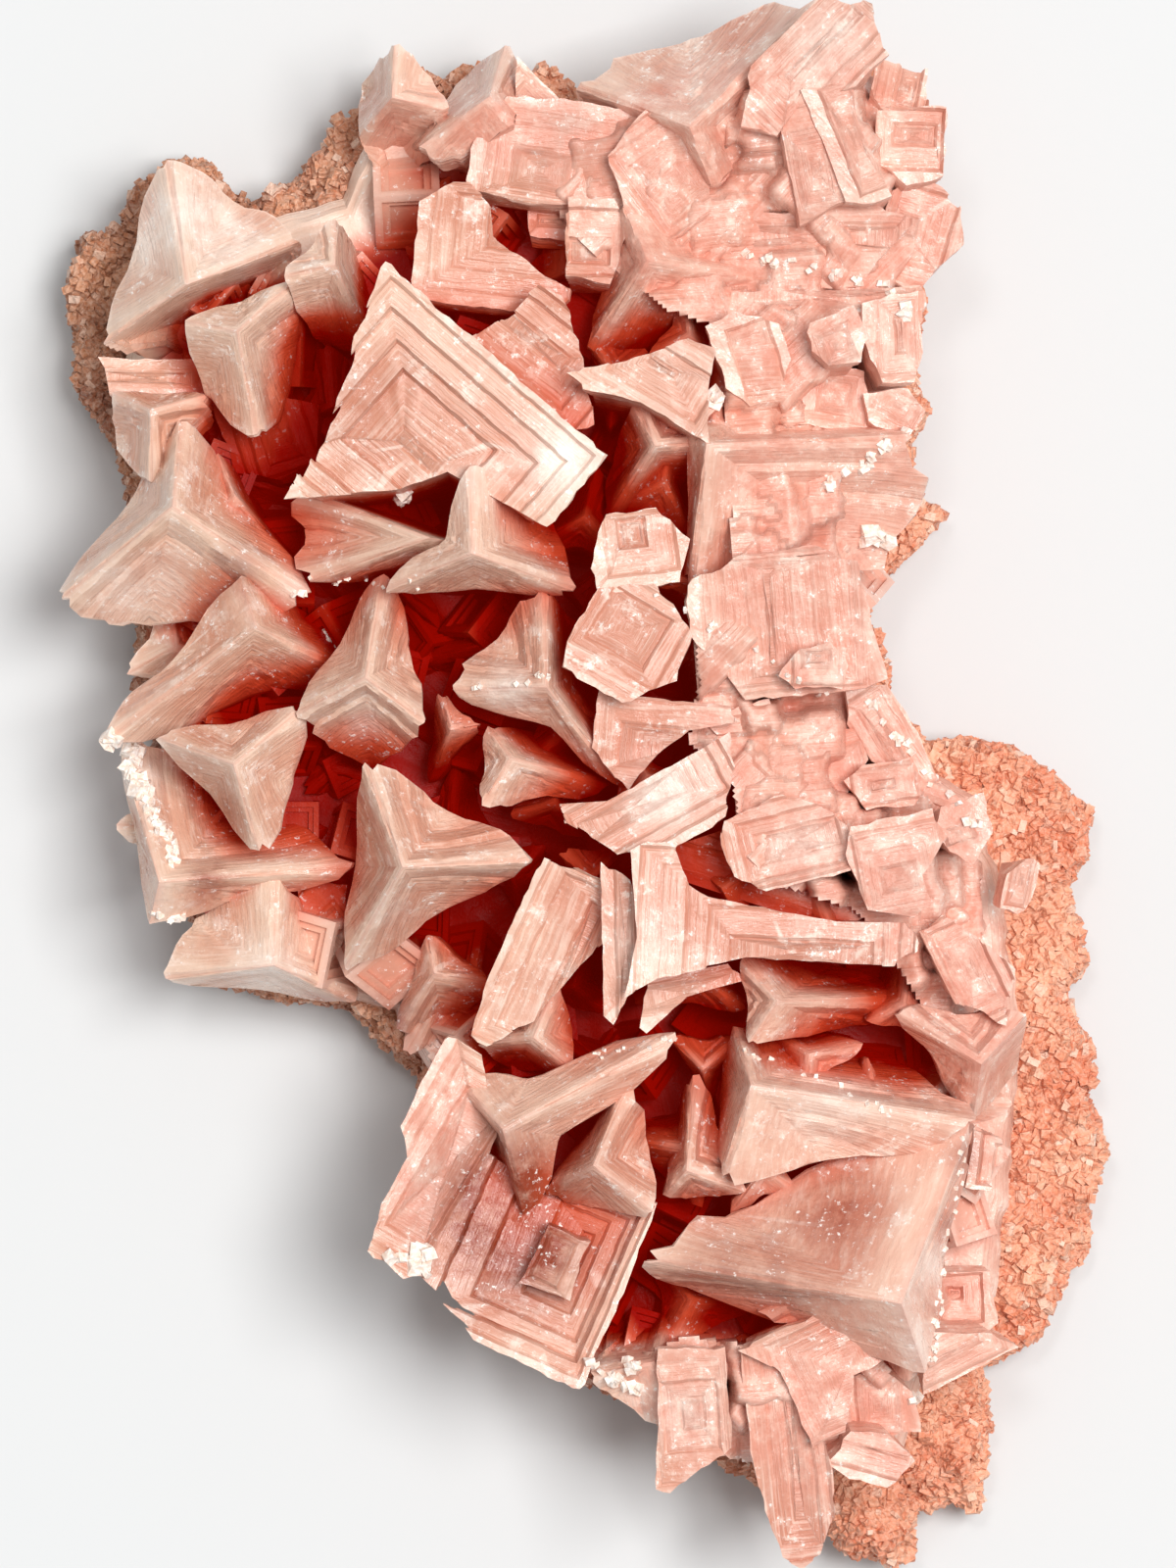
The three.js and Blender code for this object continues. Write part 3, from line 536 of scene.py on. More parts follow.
# Hollow faces: how deep they sink for their width, and how the arms' ends are blunted and widened
HOLLOW = 0.2
BLUNT = 0.12
WIDEN = 0.07
CREST_GROOVE = 0.35
CREST_RIDGE = 0.85

# Terraces of a hollow face: their width, how many, how far a riser spreads, how much a tread rises
# back, and the share of the way in where the last one ends
TERRACE_WIDTH = 2.4
TERRACES = (2, 4)
RISER_SPREAD = 0.6
TREAD_RISE = 0.12
LAST_TREAD = 0.92
INNERMOST = 0.985

# Raggedness of a terrace, in millimetres: how far its edge wanders, the share that notches add and
# their length, the teeth at its ends, and the roughness of the tread
WANDER = 0.2
NOTCH = 0.55
NOTCH_LENGTH = 1.9
TOOTH = 0.45
FACE_ROUGHNESS = 0.12

# Share of a crystal's reach that its root has
CORNER_ROOT = 0.42
PLATE_ROOT = 0.6
ROOT_FLARE = 1.32

# Points along an arm: their spacing in millimetres, and how few and how many there may be
ARM_STEP = 0.7
ARM_PARTS = (8, 36)
GROOVE_SHARE = 0.03
GROOVE_LIMIT = 0.45

# Layered flank under a crystal's rim: (drop in mm, share of the rim's reach)
FLANK = [
    (0.45, 1.0), (0.5, 0.985), (1.05, 0.985), (1.1, 0.955),
    (1.9, 0.95), (1.95, 0.915), (3.1, 0.9), (3.2, 0.865),
]
FLANK_GRAIN = 3.0
FLANK_ROUGHNESS = 0.03


def flank(growth, rim, about, root_share, chance):
    """Closes a crystal below its rim with a layered flank that narrows to its root."""
    about = np.array([about[0], about[1], 0.0])
    fan = place(RING_CENTRE)
    points = [growth.points[k] for k in rim]
    along = [0.0]
    for start, end in zip(points, points[1:]):
        along.append(along[-1] + float(np.linalg.norm(end - start)))
    seed = chance.uniform(0, 50)
    upper = rim
    upper_grain = [(s, FLANK_GRAIN, 0.1) for s in along]
    steps = [(drop, None, share) for drop, share in FLANK]
    steps += [(None, 0.55, root_share * ROOT_FLARE), (None, 1.0, root_share)]
    for drop, part, share in steps:
        lower = []
        lower_grain = []
        for s, point in zip(along, points):
            room = point[2] - ROOT_HEIGHT
            fall = min(drop, 0.5 * room * drop / FLANK[-1][0]) if drop else part * room
            ragged = share * (1 + FLANK_ROUGHNESS * rough(point + np.array([0, 0, fall]), 2.2, seed))
            spot = about + (point - about) * ragged
            spot += (fan - spot) * FAN_SHARE * fall / max(room, 0.1)
            spot[2] = point[2] - fall
            lower.append(growth.add(spot))
            # How hollow a point counts rises down the flank, so the flank is painted darker towards its root
            # as shade under the rim.
            lower_grain.append((s, FLANK_GRAIN + fall, min(0.35 + 0.08 * fall, 0.8)))
        growth.wrap(upper, lower, upper_grain, lower_grain)
        upper, upper_grain = lower, lower_grain
    middle = about + (fan - about) * FAN_SHARE
    middle[2] = ROOT_HEIGHT
    growth.cap(upper, growth.add(middle), False, upper_grain, (0, 15, 1.0))


def terrace_profile(width, chance):
    """Edges of the terraces of a hollow face, from the crest in: (share of the way in, depth)."""
    terraces = int(min(max(width / TERRACE_WIDTH, TERRACES[0]), TERRACES[1]))
    share = CREST_RIDGE / max(width, 4 * CREST_RIDGE)
    sunk = 0.0
    profile = [(share * CREST_GROOVE / CREST_RIDGE, 0.0), (share, 0.0)]
    for level in range(terraces):
        riser = HOLLOW * width / terraces * chance.uniform(0.5, 1.5) * (1.9 - 1.7 * level / terraces)
        tread = (0.93 - CREST_RIDGE / max(width, 4)) / terraces * chance.uniform(0.6, 1.4)
        sunk += riser
        profile.append((share + RISER_SPREAD * tread, sunk))
        share += tread
        if share > LAST_TREAD:
            break
        sunk -= TREAD_RISE * riser
        profile.append((share, sunk))
    return profile


def corner_crystal(row, chance):
    """A cube corner with three grooved arms and three hollow faces that step down between them."""
    apex_spot, tip_spots, outer_spots = row
    growth = Growth()
    apex = place(apex_spot, apex_spot[2])
    tips = [place(spot) for spot in tip_spots]
    for tip, height in zip(tips, tip_heights(apex, tips)):
        tip[2] = height
    seed = chance.uniform(0, 90)
    lengths = [float(np.linalg.norm(tip - apex)) for tip in tips]
    parts = int(min(max(max(lengths) / ARM_STEP, ARM_PARTS[0]), ARM_PARTS[1]))
    groove = min(GROOVE_SHARE * max(lengths), GROOVE_LIMIT)
    apex_id = growth.add(apex - np.array([0, 0, groove * 0.5]))
    arms = []
    for tip in tips:
        arm = [apex_id]
        for k in range(1, parts + 1):
            point = apex + (tip - apex) * k / parts
            point[2] -= groove * min(1.0, 2 * k / parts) + 0.2 * abs(rough(point, 1.5, seed))
            arm.append(growth.add(point))
        arms.append(arm)
    rim = []
    for i in range(3):
        j = (i + 1) % 3
        ends = tips[i], tips[j]
        outer = outer_point(apex, *ends, outer_spots[i])
        inward = np.cross(ends[1] - apex, ends[0] - apex)
        inward /= np.linalg.norm(inward)
        steep = max(0.4, -inward[2])
        sides = []
        for end in ends:
            along = (end - apex) / np.linalg.norm(end - apex)
            side = (outer - apex) - along * np.dot(outer - apex, along)
            sides.append(side / np.linalg.norm(side))
        width = min(float(np.dot(outer - apex, side)) for side in sides)
        profile = terrace_profile(width, chance)
        line = [-1 + m / parts for m in range(2 * parts + 1)]
        above = arms[i][::-1] + arms[j][1:]
        above_grain = [(abs(t) * max(lengths), 0.0) for t in line]
        starts, finishes = [], []
        frays = [chance.uniform(-0.05, 0.05), chance.uniform(-0.05, 0.05)]
        for step, (share, depth) in enumerate(profile):
            swing = math.sin(math.pi * min(share / 0.85, 1.0))
            if step % 2:
                frays = [chance.uniform(-0.07, 0.06), chance.uniform(-0.07, 0.06)]
            ids, grain = [], []
            for t in line:
                k = 0 if t < 0 else 1
                length = lengths[(i, j)[k]]
                tooth = TOOTH * stepped((share * 40, k * 7.3, i * 5.1), 1.0, seed) / length
                reach = abs(t) * (1 + (BLUNT * swing + frays[k]) * t * t + (tooth if abs(t) == 1 else 0))
                base = apex + (ends[k] - apex) * reach
                notch = stepped((t * length, (step // 2) * 3.7, i * 9.1), NOTCH_LENGTH, seed)
                drift = rough((t * width / 3, (step // 2) * 3.7, seed + i * 9), 1.0)
                wander = WANDER / width * (drift + NOTCH * notch)
                here = min(max(share + wander, 0.3 * share), INNERMOST)
                point = base + (outer - base) * here
                point = point + sides[k] * WIDEN * length * swing ** 0.8 * abs(t) ** 3
                sunk_here = (depth + FACE_ROUGHNESS * rough(point, 1.1, seed)) / steep
                point[2] = max(point[2] - sunk_here, ROOT_HEIGHT + 1)
                ids.append(growth.add(point))
                # How hollow a point counts peaks in the middle of the face, where the face is painted darker
                # as shade.
                grain.append((abs(t) * max(lengths), here * width, 0.75 * math.sin(math.pi * here)))
            growth.band(above, ids, above_grain, grain)
            starts.append(ids[0])
            finishes.append(ids[-1])
            above, above_grain = ids, grain
        outer[2] = max(outer[2] - profile[-1][1] / steep, ROOT_HEIGHT + 1)
        outer_id = growth.add(outer)
        for k in range(len(above) - 1):
            corner_grain = (above_grain[k], (0, width, 0.1), above_grain[k + 1])
            growth.face((above[k], outer_id, above[k + 1]), corner_grain)
        rim += [arms[i][-1]] + starts + [outer_id] + finishes[::-1]
    flank(growth, rim, apex, CORNER_ROOT, chance)
    return growth


# Frames on a plate, in millimetres: their width, how many, the least room for one more, the spread
# of a riser, the spacing of points round them and round the rim, and their raggedness
FRAME_WIDTH = 1.6
FRAMES = (2, 5)
LEAST_ROOM = 1.2
FRAME_RISER = 0.35
FRAME_STEP = 0.8
RIM_STEP = 0.9
FRAME_JAG = 0.07

# A plate's block reaches this far past its outline and this far above it before it is cut to it
BLOCK_MARGIN = 0.6
CUT_HEIGHT = 3


def plate_crystal(row, chance):
    """A block with nested square frames on top, cut to the plate's own ragged outline."""
    top, slope_x, slope_y, recess, centre_spot, outline = row
    heart = place(centre_spot)
    path = [heart + (spot - heart) * PLATE_GROWTH for spot in follow(outline, RIM_STEP)]
    sides = [place(b) - place(a) for a, b in zip(outline, outline[1:] + outline[:1])]
    run = max(sides, key=lambda side: float(np.linalg.norm(side)))
    run /= np.linalg.norm(run)
    cross = np.array([-run[1], run[0], 0.0])
    lean_x = slope_x + PLATE_LEAN * math.sin(0.9 * heart[0] + 0.5 * heart[1])
    lean_y = slope_y + PLATE_LEAN * math.cos(0.6 * heart[0] - 0.8 * heart[1])
    seed = chance.uniform(0, 90)
    size = sum(float(np.linalg.norm(p - heart)) for p in path) / len(path)

    def surface(point):
        return top + lean_x * (point[0] - heart[0]) + lean_y * (point[1] - heart[1])

    block = Growth()
    spans = [[float(np.dot(p - heart, axis)) for p in path] for axis in (run, cross)]
    low = [min(span) - BLOCK_MARGIN for span in spans]
    high = [max(span) + BLOCK_MARGIN for span in spans]
    counts = [max(4, round((h - l) / FRAME_STEP)) for l, h in zip(low, high)]
    inset = 0.0

    def square(low, high, sunk, jag):
        """One frame's edge: a loop of points round the rectangle, and where each lies in the grain."""
        ids, grain = [], []
        corners = [(low[0], low[1]), (high[0], low[1]), (high[0], high[1]), (low[0], high[1])]
        gone = 0.0
        for side in range(4):
            start, end = corners[side], corners[(side + 1) % 4]
            parts = counts[side % 2]
            length = abs(end[0] - start[0]) + abs(end[1] - start[1])
            for k in range(parts):
                share = k / parts
                u = start[0] + (end[0] - start[0]) * share
                v = start[1] + (end[1] - start[1]) * share
                uneven = stepped((u, v, side * 7.7 + inset), 1.8, seed) + rough((u, v, inset), 2.5, seed)
                shift = jag * uneven
                if 0 < k:
                    u, v = (u, v + shift) if side % 2 == 0 else (u + shift, v)
                point = heart + run * u + cross * v
                point[2] = surface(point) - sunk + 0.2 * rough((u, v, 0), 1.7, seed)
                ids.append(block.add(point))
                grain.append((gone + length * share, inset + FLANK_GRAIN, min(0.3 + 0.08 * inset, 0.9)))
            gone += length
        return ids, grain

    above, above_grain = square(low, high, 0.0, 0.0)
    foot = [block.add(block.points[k] * (1, 1, 0) + (0, 0, ROOT_HEIGHT - 2)) for k in above]
    block.wrap(above, foot, above_grain, above_grain)
    block.cap(foot, block.add(heart + (0, 0, ROOT_HEIGHT - 2)), False, above_grain, (0, 0))
    frames = int(min(max(size / FRAME_WIDTH, FRAMES[0]), FRAMES[1]))
    depth = recess * 1.7 if recess else -0.35 - 0.05 * size
    sunk = 0.0
    favour = [chance.uniform(0.3, 1.5) for _ in range(4)]
    for level in range(frames):
        widths = [f * chance.uniform(0.6, 1.8) * (1.0 + 0.3 * level) for f in favour]
        riser = depth / frames * chance.uniform(0.3, 1.7)
        if min(high[k] - low[k] - widths[k] - widths[k + 2] for k in (0, 1)) < LEAST_ROOM:
            break
        low = [low[k] + widths[k] for k in (0, 1)]
        high = [high[k] - widths[k + 2] for k in (0, 1)]
        for drop, step in ((0.0, 0.0), (riser, FRAME_RISER), (-0.1 * riser, 0.5)):
            sunk += drop
            inset += max(step, 0.05)
            ids, grain = square([c + step for c in low], [c - step for c in high], sunk, FRAME_JAG)
            block.wrap(ids, above, grain, above_grain)
            above, above_grain = ids, grain
        inset += sum(widths) / 4
    middle = heart + run * (low[0] + high[0]) / 2 + cross * (low[1] + high[1]) / 2
    for part in (0.75, 0.5, 0.25):
        ids = []
        for k in above if part == 0.75 else outermost:
            spot = middle + (block.points[k] * (1, 1, 0) - middle) * part
            spot[2] = surface(spot) - sunk + 0.45 * rough(spot, 1.9, seed)
            ids.append(block.add(spot))
        if part == 0.75:
            outermost = above
        grain = [(spot[0], inset + FLANK_GRAIN + (1 - part) * size, spot[2]) for spot in above_grain]
        block.wrap(ids, above, grain, above_grain)
        above, above_grain = ids, grain
    lowest = block.add(middle + (0, 0, surface(middle) - sunk))
    block.cap(above, lowest, True, above_grain, (0, inset + size, 0.3))

    cut = Growth()
    rim = []
    for spot in path:
        jag = 1 + (0.22 * rough(spot, 1.2, seed) + 0.2 * stepped(spot, 1.5, seed)) / size
        point = heart + (spot - heart) * jag
        point[2] = surface(point)
        rim.append(cut.add(point))
    over = [cut.add(cut.points[k] + (0, 0, CUT_HEIGHT)) for k in rim]
    rim_grain = [(k * RIM_STEP, FLANK_GRAIN) for k in range(len(rim))]
    cut.cap(over, cut.add(heart + (0, 0, top + CUT_HEIGHT)), True, rim_grain, (0, 0))
    cut.wrap(over, rim, rim_grain, rim_grain)
    flank(cut, rim, heart, PLATE_ROOT, chance)
    return block, cut


BED_RINGS = [
    (0.96, BED_BOTTOM, 0), (0.985, 9.0, 0.3), (0.99, BED_TOP - 2.6, 0.5), (0.97, BED_TOP - 0.8, 0.4),
]
BED_RINGS += [(0.95 - 0.03 * k, BED_TOP, 0.25) for k in range(28)]


def as_evaluated(shown):
    """The mesh of an object with its modifiers worked in."""
    return bpy.data.meshes.new_from_object(shown.evaluated_get(bpy.context.evaluated_depsgraph_get()))


def combine(base, others, operation):
    """Joins others to the base skin, or cuts it to them, and leaves one closed skin."""
    name = base.name
    apart = bpy.data.collections.new(name)
    bpy.context.scene.collection.children.link(apart)
    whole = stand(name, base)
    for other in others:
        apart.objects.link(bpy.data.objects.new(other.name, other))
    modifier = whole.modifiers.new("combine", "BOOLEAN")
    modifier.operation = operation
    modifier.solver = "MANIFOLD"
    modifier.operand_type = "COLLECTION"
    modifier.collection = apart
    combined = as_evaluated(whole)
    for used in [whole, *apart.objects]:
        skin = used.data
        bpy.data.objects.remove(used)
        bpy.data.meshes.remove(skin)
    bpy.data.collections.remove(apart)
    combined.name = name
    return combined


def grow_together(name, skins):
    """One piece of all the crystals whose skins are given."""
    return stand(name, combine(skins[0], skins[1:], "UNION"))


chance = random.Random(7)
bed_skin = slab(BED_OUTLINE, BED_RINGS, BED_STEP, BED_LUMP, seed=5.0).mesh("bed")
corner_skins = [corner_crystal(row, chance).mesh("corner", chance.random()) for row in CORNERS]
plate_skins = []
for row in PLATES:
    block, cut = plate_crystal(row, chance)
    tone = chance.random()
    plate_skins.append(combine(block.mesh("plate", tone), [cut.mesh("cut", tone)], "INTERSECT"))
corners = grow_together("corner_crystals", [bed_skin] + corner_skins)
plates = grow_together("plate_crystals", plate_skins)


def points_of(mesh):
    points = np.empty(len(mesh.vertices) * 3)
    mesh.vertices.foreach_get("co", points)
    return points.reshape(-1, 3)


# How far the upper surface may stand over the lowest height around it, in metres
WALL_RISE = 0.002


def surface_level(meshes, cell=0.0005, spread=0.005):
    """Smoothed height of the crystals' upper surface on a grid: (low corner, cell, heights)."""
    points = np.concatenate([points_of(mesh) for mesh in meshes])
    low = points[:, :2].min(0) - 4 * spread
    shape = np.ceil((points[:, :2].max(0) + 4 * spread - low) / cell).astype(int) + 1
    level = np.zeros(shape)
    at = ((points[:, :2] - low) / cell).astype(int)
    np.maximum.at(level, (at[:, 0], at[:, 1]), points[:, 2])
    for _ in range(4):
        level = np.maximum.reduce([np.roll(level, shift, axis) for axis in (0, 1) for shift in (-1, 0, 1)])
    reach = int(spread / cell)
    for _ in range(2):
        for axis in (0, 1):
            total = np.cumsum(level, axis)
            level = (np.roll(total, -reach, axis) - np.roll(total, reach, axis)) / (2 * reach)
    walls = [level]
    for turn in range(8):
        angle = turn * math.pi / 4
        shift = (round(reach * math.cos(angle)), round(reach * math.sin(angle)))
        walls.append(np.roll(level, shift, (0, 1)) + WALL_RISE)
    return low, cell, np.minimum.reduce(walls)


# Where the salt filled the gaps between the crystals nearly to the top
FILLED = [
    [[590, 110], [760, 60], [900, 70], [955, 130], [958, 250], [935, 330], [940, 440], [930, 560],
    [885, 610],
     [895, 700], [950, 765], [1005, 815], [1032, 900], [1045, 1000], [1050, 1100], [1040, 1220],
     [1030, 1330],
     [1000, 1395], [955, 1395], [960, 1290], [1000, 1180], [985, 1110], [960, 1060], [905, 975], [870, 930],
     [790, 905], [752, 870], [745, 800], [700, 760], [710, 700], [705, 620], [745, 580], [742, 480],
     [735, 420],
     [740, 340], [680, 320], [640, 290], [600, 260], [560, 210], [540, 160]],
    [[640, 1385], [700, 1360], [770, 1370], [900, 1380], [935, 1440], [910, 1520], [850, 1530], [820, 1540],
     [780, 1500], [700, 1480], [640, 1430]],
    [[370, 100], [460, 90], [560, 80], [600, 110], [560, 160], [480, 180], [430, 160], [380, 150]],
    [[400, 1060], [470, 1070], [490, 1130], [452, 1240], [432, 1275], [400, 1250]],
]


def filled_share(points, blur=0.003):
    """How far each point, in metres, lies inside the filled parts, 0 to 1."""
    share = np.zeros(len(points))
    for area in FILLED:
        ring = np.array([place(spot)[:2] * MM for spot in area])
        crossings = np.zeros(len(points), int)
        nearest = np.full(len(points), 1.0)
        for start, end in zip(ring, np.roll(ring, -1, 0)):
            run = end - start
            part = np.clip(((points[:, :2] - start) @ run) / (run @ run), 0, 1)
            away = points[:, :2] - start - part[:, None] * run
            nearest = np.minimum(nearest, np.hypot(away[:, 0], away[:, 1]))
            beside = (start[1] > points[:, 1]) != (end[1] > points[:, 1])
            at = start[0] + run[0] * (points[:, 1] - start[1]) / (run[1] or 1.0)
            crossings += beside & (at > points[:, 0])
        signed = np.where(crossings % 2 == 1, nearest, -nearest)
        share = np.maximum(share, np.clip(0.5 + signed / blur, 0, 1))
    return share


# Measured spots with their radius and strength. Above 0 the salt is painted whiter: partly whiter salt,
# partly painted highlights and glints on faces that catch the light. Below 0 it is painted browner:
# partly browner salt, partly painted shade in recesses and gaps.
TINT_AND_LIGHT_SPOTS = [
    [575, 470, 45, 0.9], [520, 705, 26, 1.0], [372, 742, 24, 0.6], [680, 812, 48, 0.7], [825, 865, 42, 0.6],
    [850, 1128, 62, 0.45], [955, 1290, 42, 0.5], [940, 1370, 30, 0.6], [700, 1440, 35, 0.5],
    [838, 50, 60, 0.5],
    [180, 215, 45, 0.7], [235, 245, 45, 0.5], [140, 255, 30, 0.5], [275, 1000, 50, 0.6],
    [300, 600, 22, 0.6],
    [120, 600, 40, 0.4], [180, 590, 40, 0.3], [478, 490, 40, 0.4], [400, 930, 30, 0.3], [880, 545, 30, 0.4],
    [715, 75, 50, 0.3], [385, 420, 70, -0.3], [860, 1230, 60, -0.6], [580, 135, 60, -0.3],
    [810, 640, 50, -0.15],
    [930, 900, 45, 0.4], [655, 960, 45, 0.4], [140, 795, 28, 0.7], [320, 800, 25, 0.4],
    [525, 1245, 90, -1.4], [215, 905, 35, -0.7], [225, 830, 35, -0.5], [985, 1180, 24, -0.6],
    [968, 1250, 20, -0.6], [955, 1330, 20, -0.6], [790, 1290, 80, -0.45], [720, 1300, 40, -0.35],
    [760, 165, 30, -0.4], [330, 1040, 40, -0.6], [400, 1040, 40, -0.7], [240, 590, 40, -0.5],
]

# How fast a tint fades with distance, the depth in metres that counts as deep, and how much
# shallower the filled parts count
TINT_FALL = 1.4
DEEP = 0.012
FILLED_SHALLOW = 0.72


def mark_tint_and_painted_light(mesh):
    """How much whiter (above 0) and browner (below 0) each point is than the rest, -1 to 1, kept as a named
    attribute. Above 0 it is partly whiter salt and partly painted highlight; below 0 partly browner salt and
    partly painted shade in recesses.
    """
    points = points_of(mesh)
    tint_and_painted_light = np.zeros(len(points))
    for x, y, radius, strength in TINT_AND_LIGHT_SPOTS:
        spot = place((x, y)) * MM
        away = np.hypot(points[:, 0] - spot[0], points[:, 1] - spot[1]) / (radius * MEASURE_SCALE * MM)
        tint_and_painted_light += strength * np.exp(-TINT_FALL * away ** 2)
    carry(mesh, "tint_and_painted_light", np.clip(tint_and_painted_light, -1, 1))


def level_over(points):
    """Height of the upper surface over each point, in metres."""
    low, cell, level = upper_surface
    at = np.clip(((points[:, :2] - low) / cell).astype(int), 0, np.array(level.shape) - 1)
    return level[at[:, 0], at[:, 1]]


def mark_depth(mesh):
    """How far each point lies below the crystals around it and in the filled parts, both 0 to 1."""
    points = points_of(mesh)
    depth = np.clip((level_over(points) - points[:, 2]) / DEEP, 0, 1)
    share = filled_share(points)
    carry(mesh, "depth", depth * (1 - FILLED_SHALLOW * share))
    carry(mesh, "filled", share)


upper_surface = surface_level([corners.data, plates.data])


# Lesser corners: the surface they need above them, their drop below it, height, reach and pit depth
LESSER_FLOOR = 21.0
LESSER_DROP = (1.5, 5.0)
LESSER_HEIGHT = (18.0, 32.0)
LESSER_REACH = (38, 72)
PIT_DROP = 9.0
# Share of painted hollow shade and pink that plates and blocks gain
FLAT_FACE_PINK = 0.4


def lesser_crystals(chance, count, spacing):
    """Smaller corners that fill the gaps, each kept below the large crystals around it."""
    spots, skins = [], []
    tried = [place((chance.uniform(100, 1050), chance.uniform(40, 1560))) for _ in range(count)]
    levels = level_over(np.array(tried) * MM)
    filled = filled_share(np.array(tried) * MM) > 0.5
    for spot, around, shut in zip(tried, levels / MM, filled):
        crowded = any(np.linalg.norm(spot - other) < spacing for other in spots)
        if around < LESSER_FLOOR or shut or crowded:
            continue
        spots.append(spot)
        pit = max(0.0, min(1.0, 0.5 - spot[0] / 40))
        height = around - chance.uniform(*LESSER_DROP) - PIT_DROP * pit
        height = min(max(height, LESSER_HEIGHT[0]), LESSER_HEIGHT[1])
        reach = chance.uniform(*LESSER_REACH)
        turn = chance.uniform(0, 2 * math.pi)
        middle = (spot[0] / MEASURE_SCALE + MEASURE_ORIGIN[0], MEASURE_ORIGIN[1] - spot[1] / MEASURE_SCALE)
        tips, outers = [], []
        for k in range(3):
            angle = turn + 2 * math.pi * k / 3 + chance.uniform(-0.35, 0.35)
            arm = reach * chance.uniform(0.7, 1.2)
            tips.append([middle[0] + arm * math.cos(angle), middle[1] - arm * math.sin(angle)])
        for k in range(3):
            half = [(a + b) / 2 for a, b in zip(tips[k], tips[(k + 1) % 3])]
            pull = chance.uniform(0.75, 1.15)
            outers.append([c + (h - c) * pull for c, h in zip(middle, half)])
        row = [[*middle, height], tips, outers]
        skins.append(corner_crystal(row, chance).mesh("lesser", chance.random()))
    return skins


# Blocks of the filled parts, in millimetres: raggedness, rim, width and count of their sunken frames
BLOCK_JAG = 0.3
BLOCK_RIM = 0.35
BLOCK_FRAME = 0.75
BLOCK_FRAMES = 3
BLOCK_GRAIN = 9


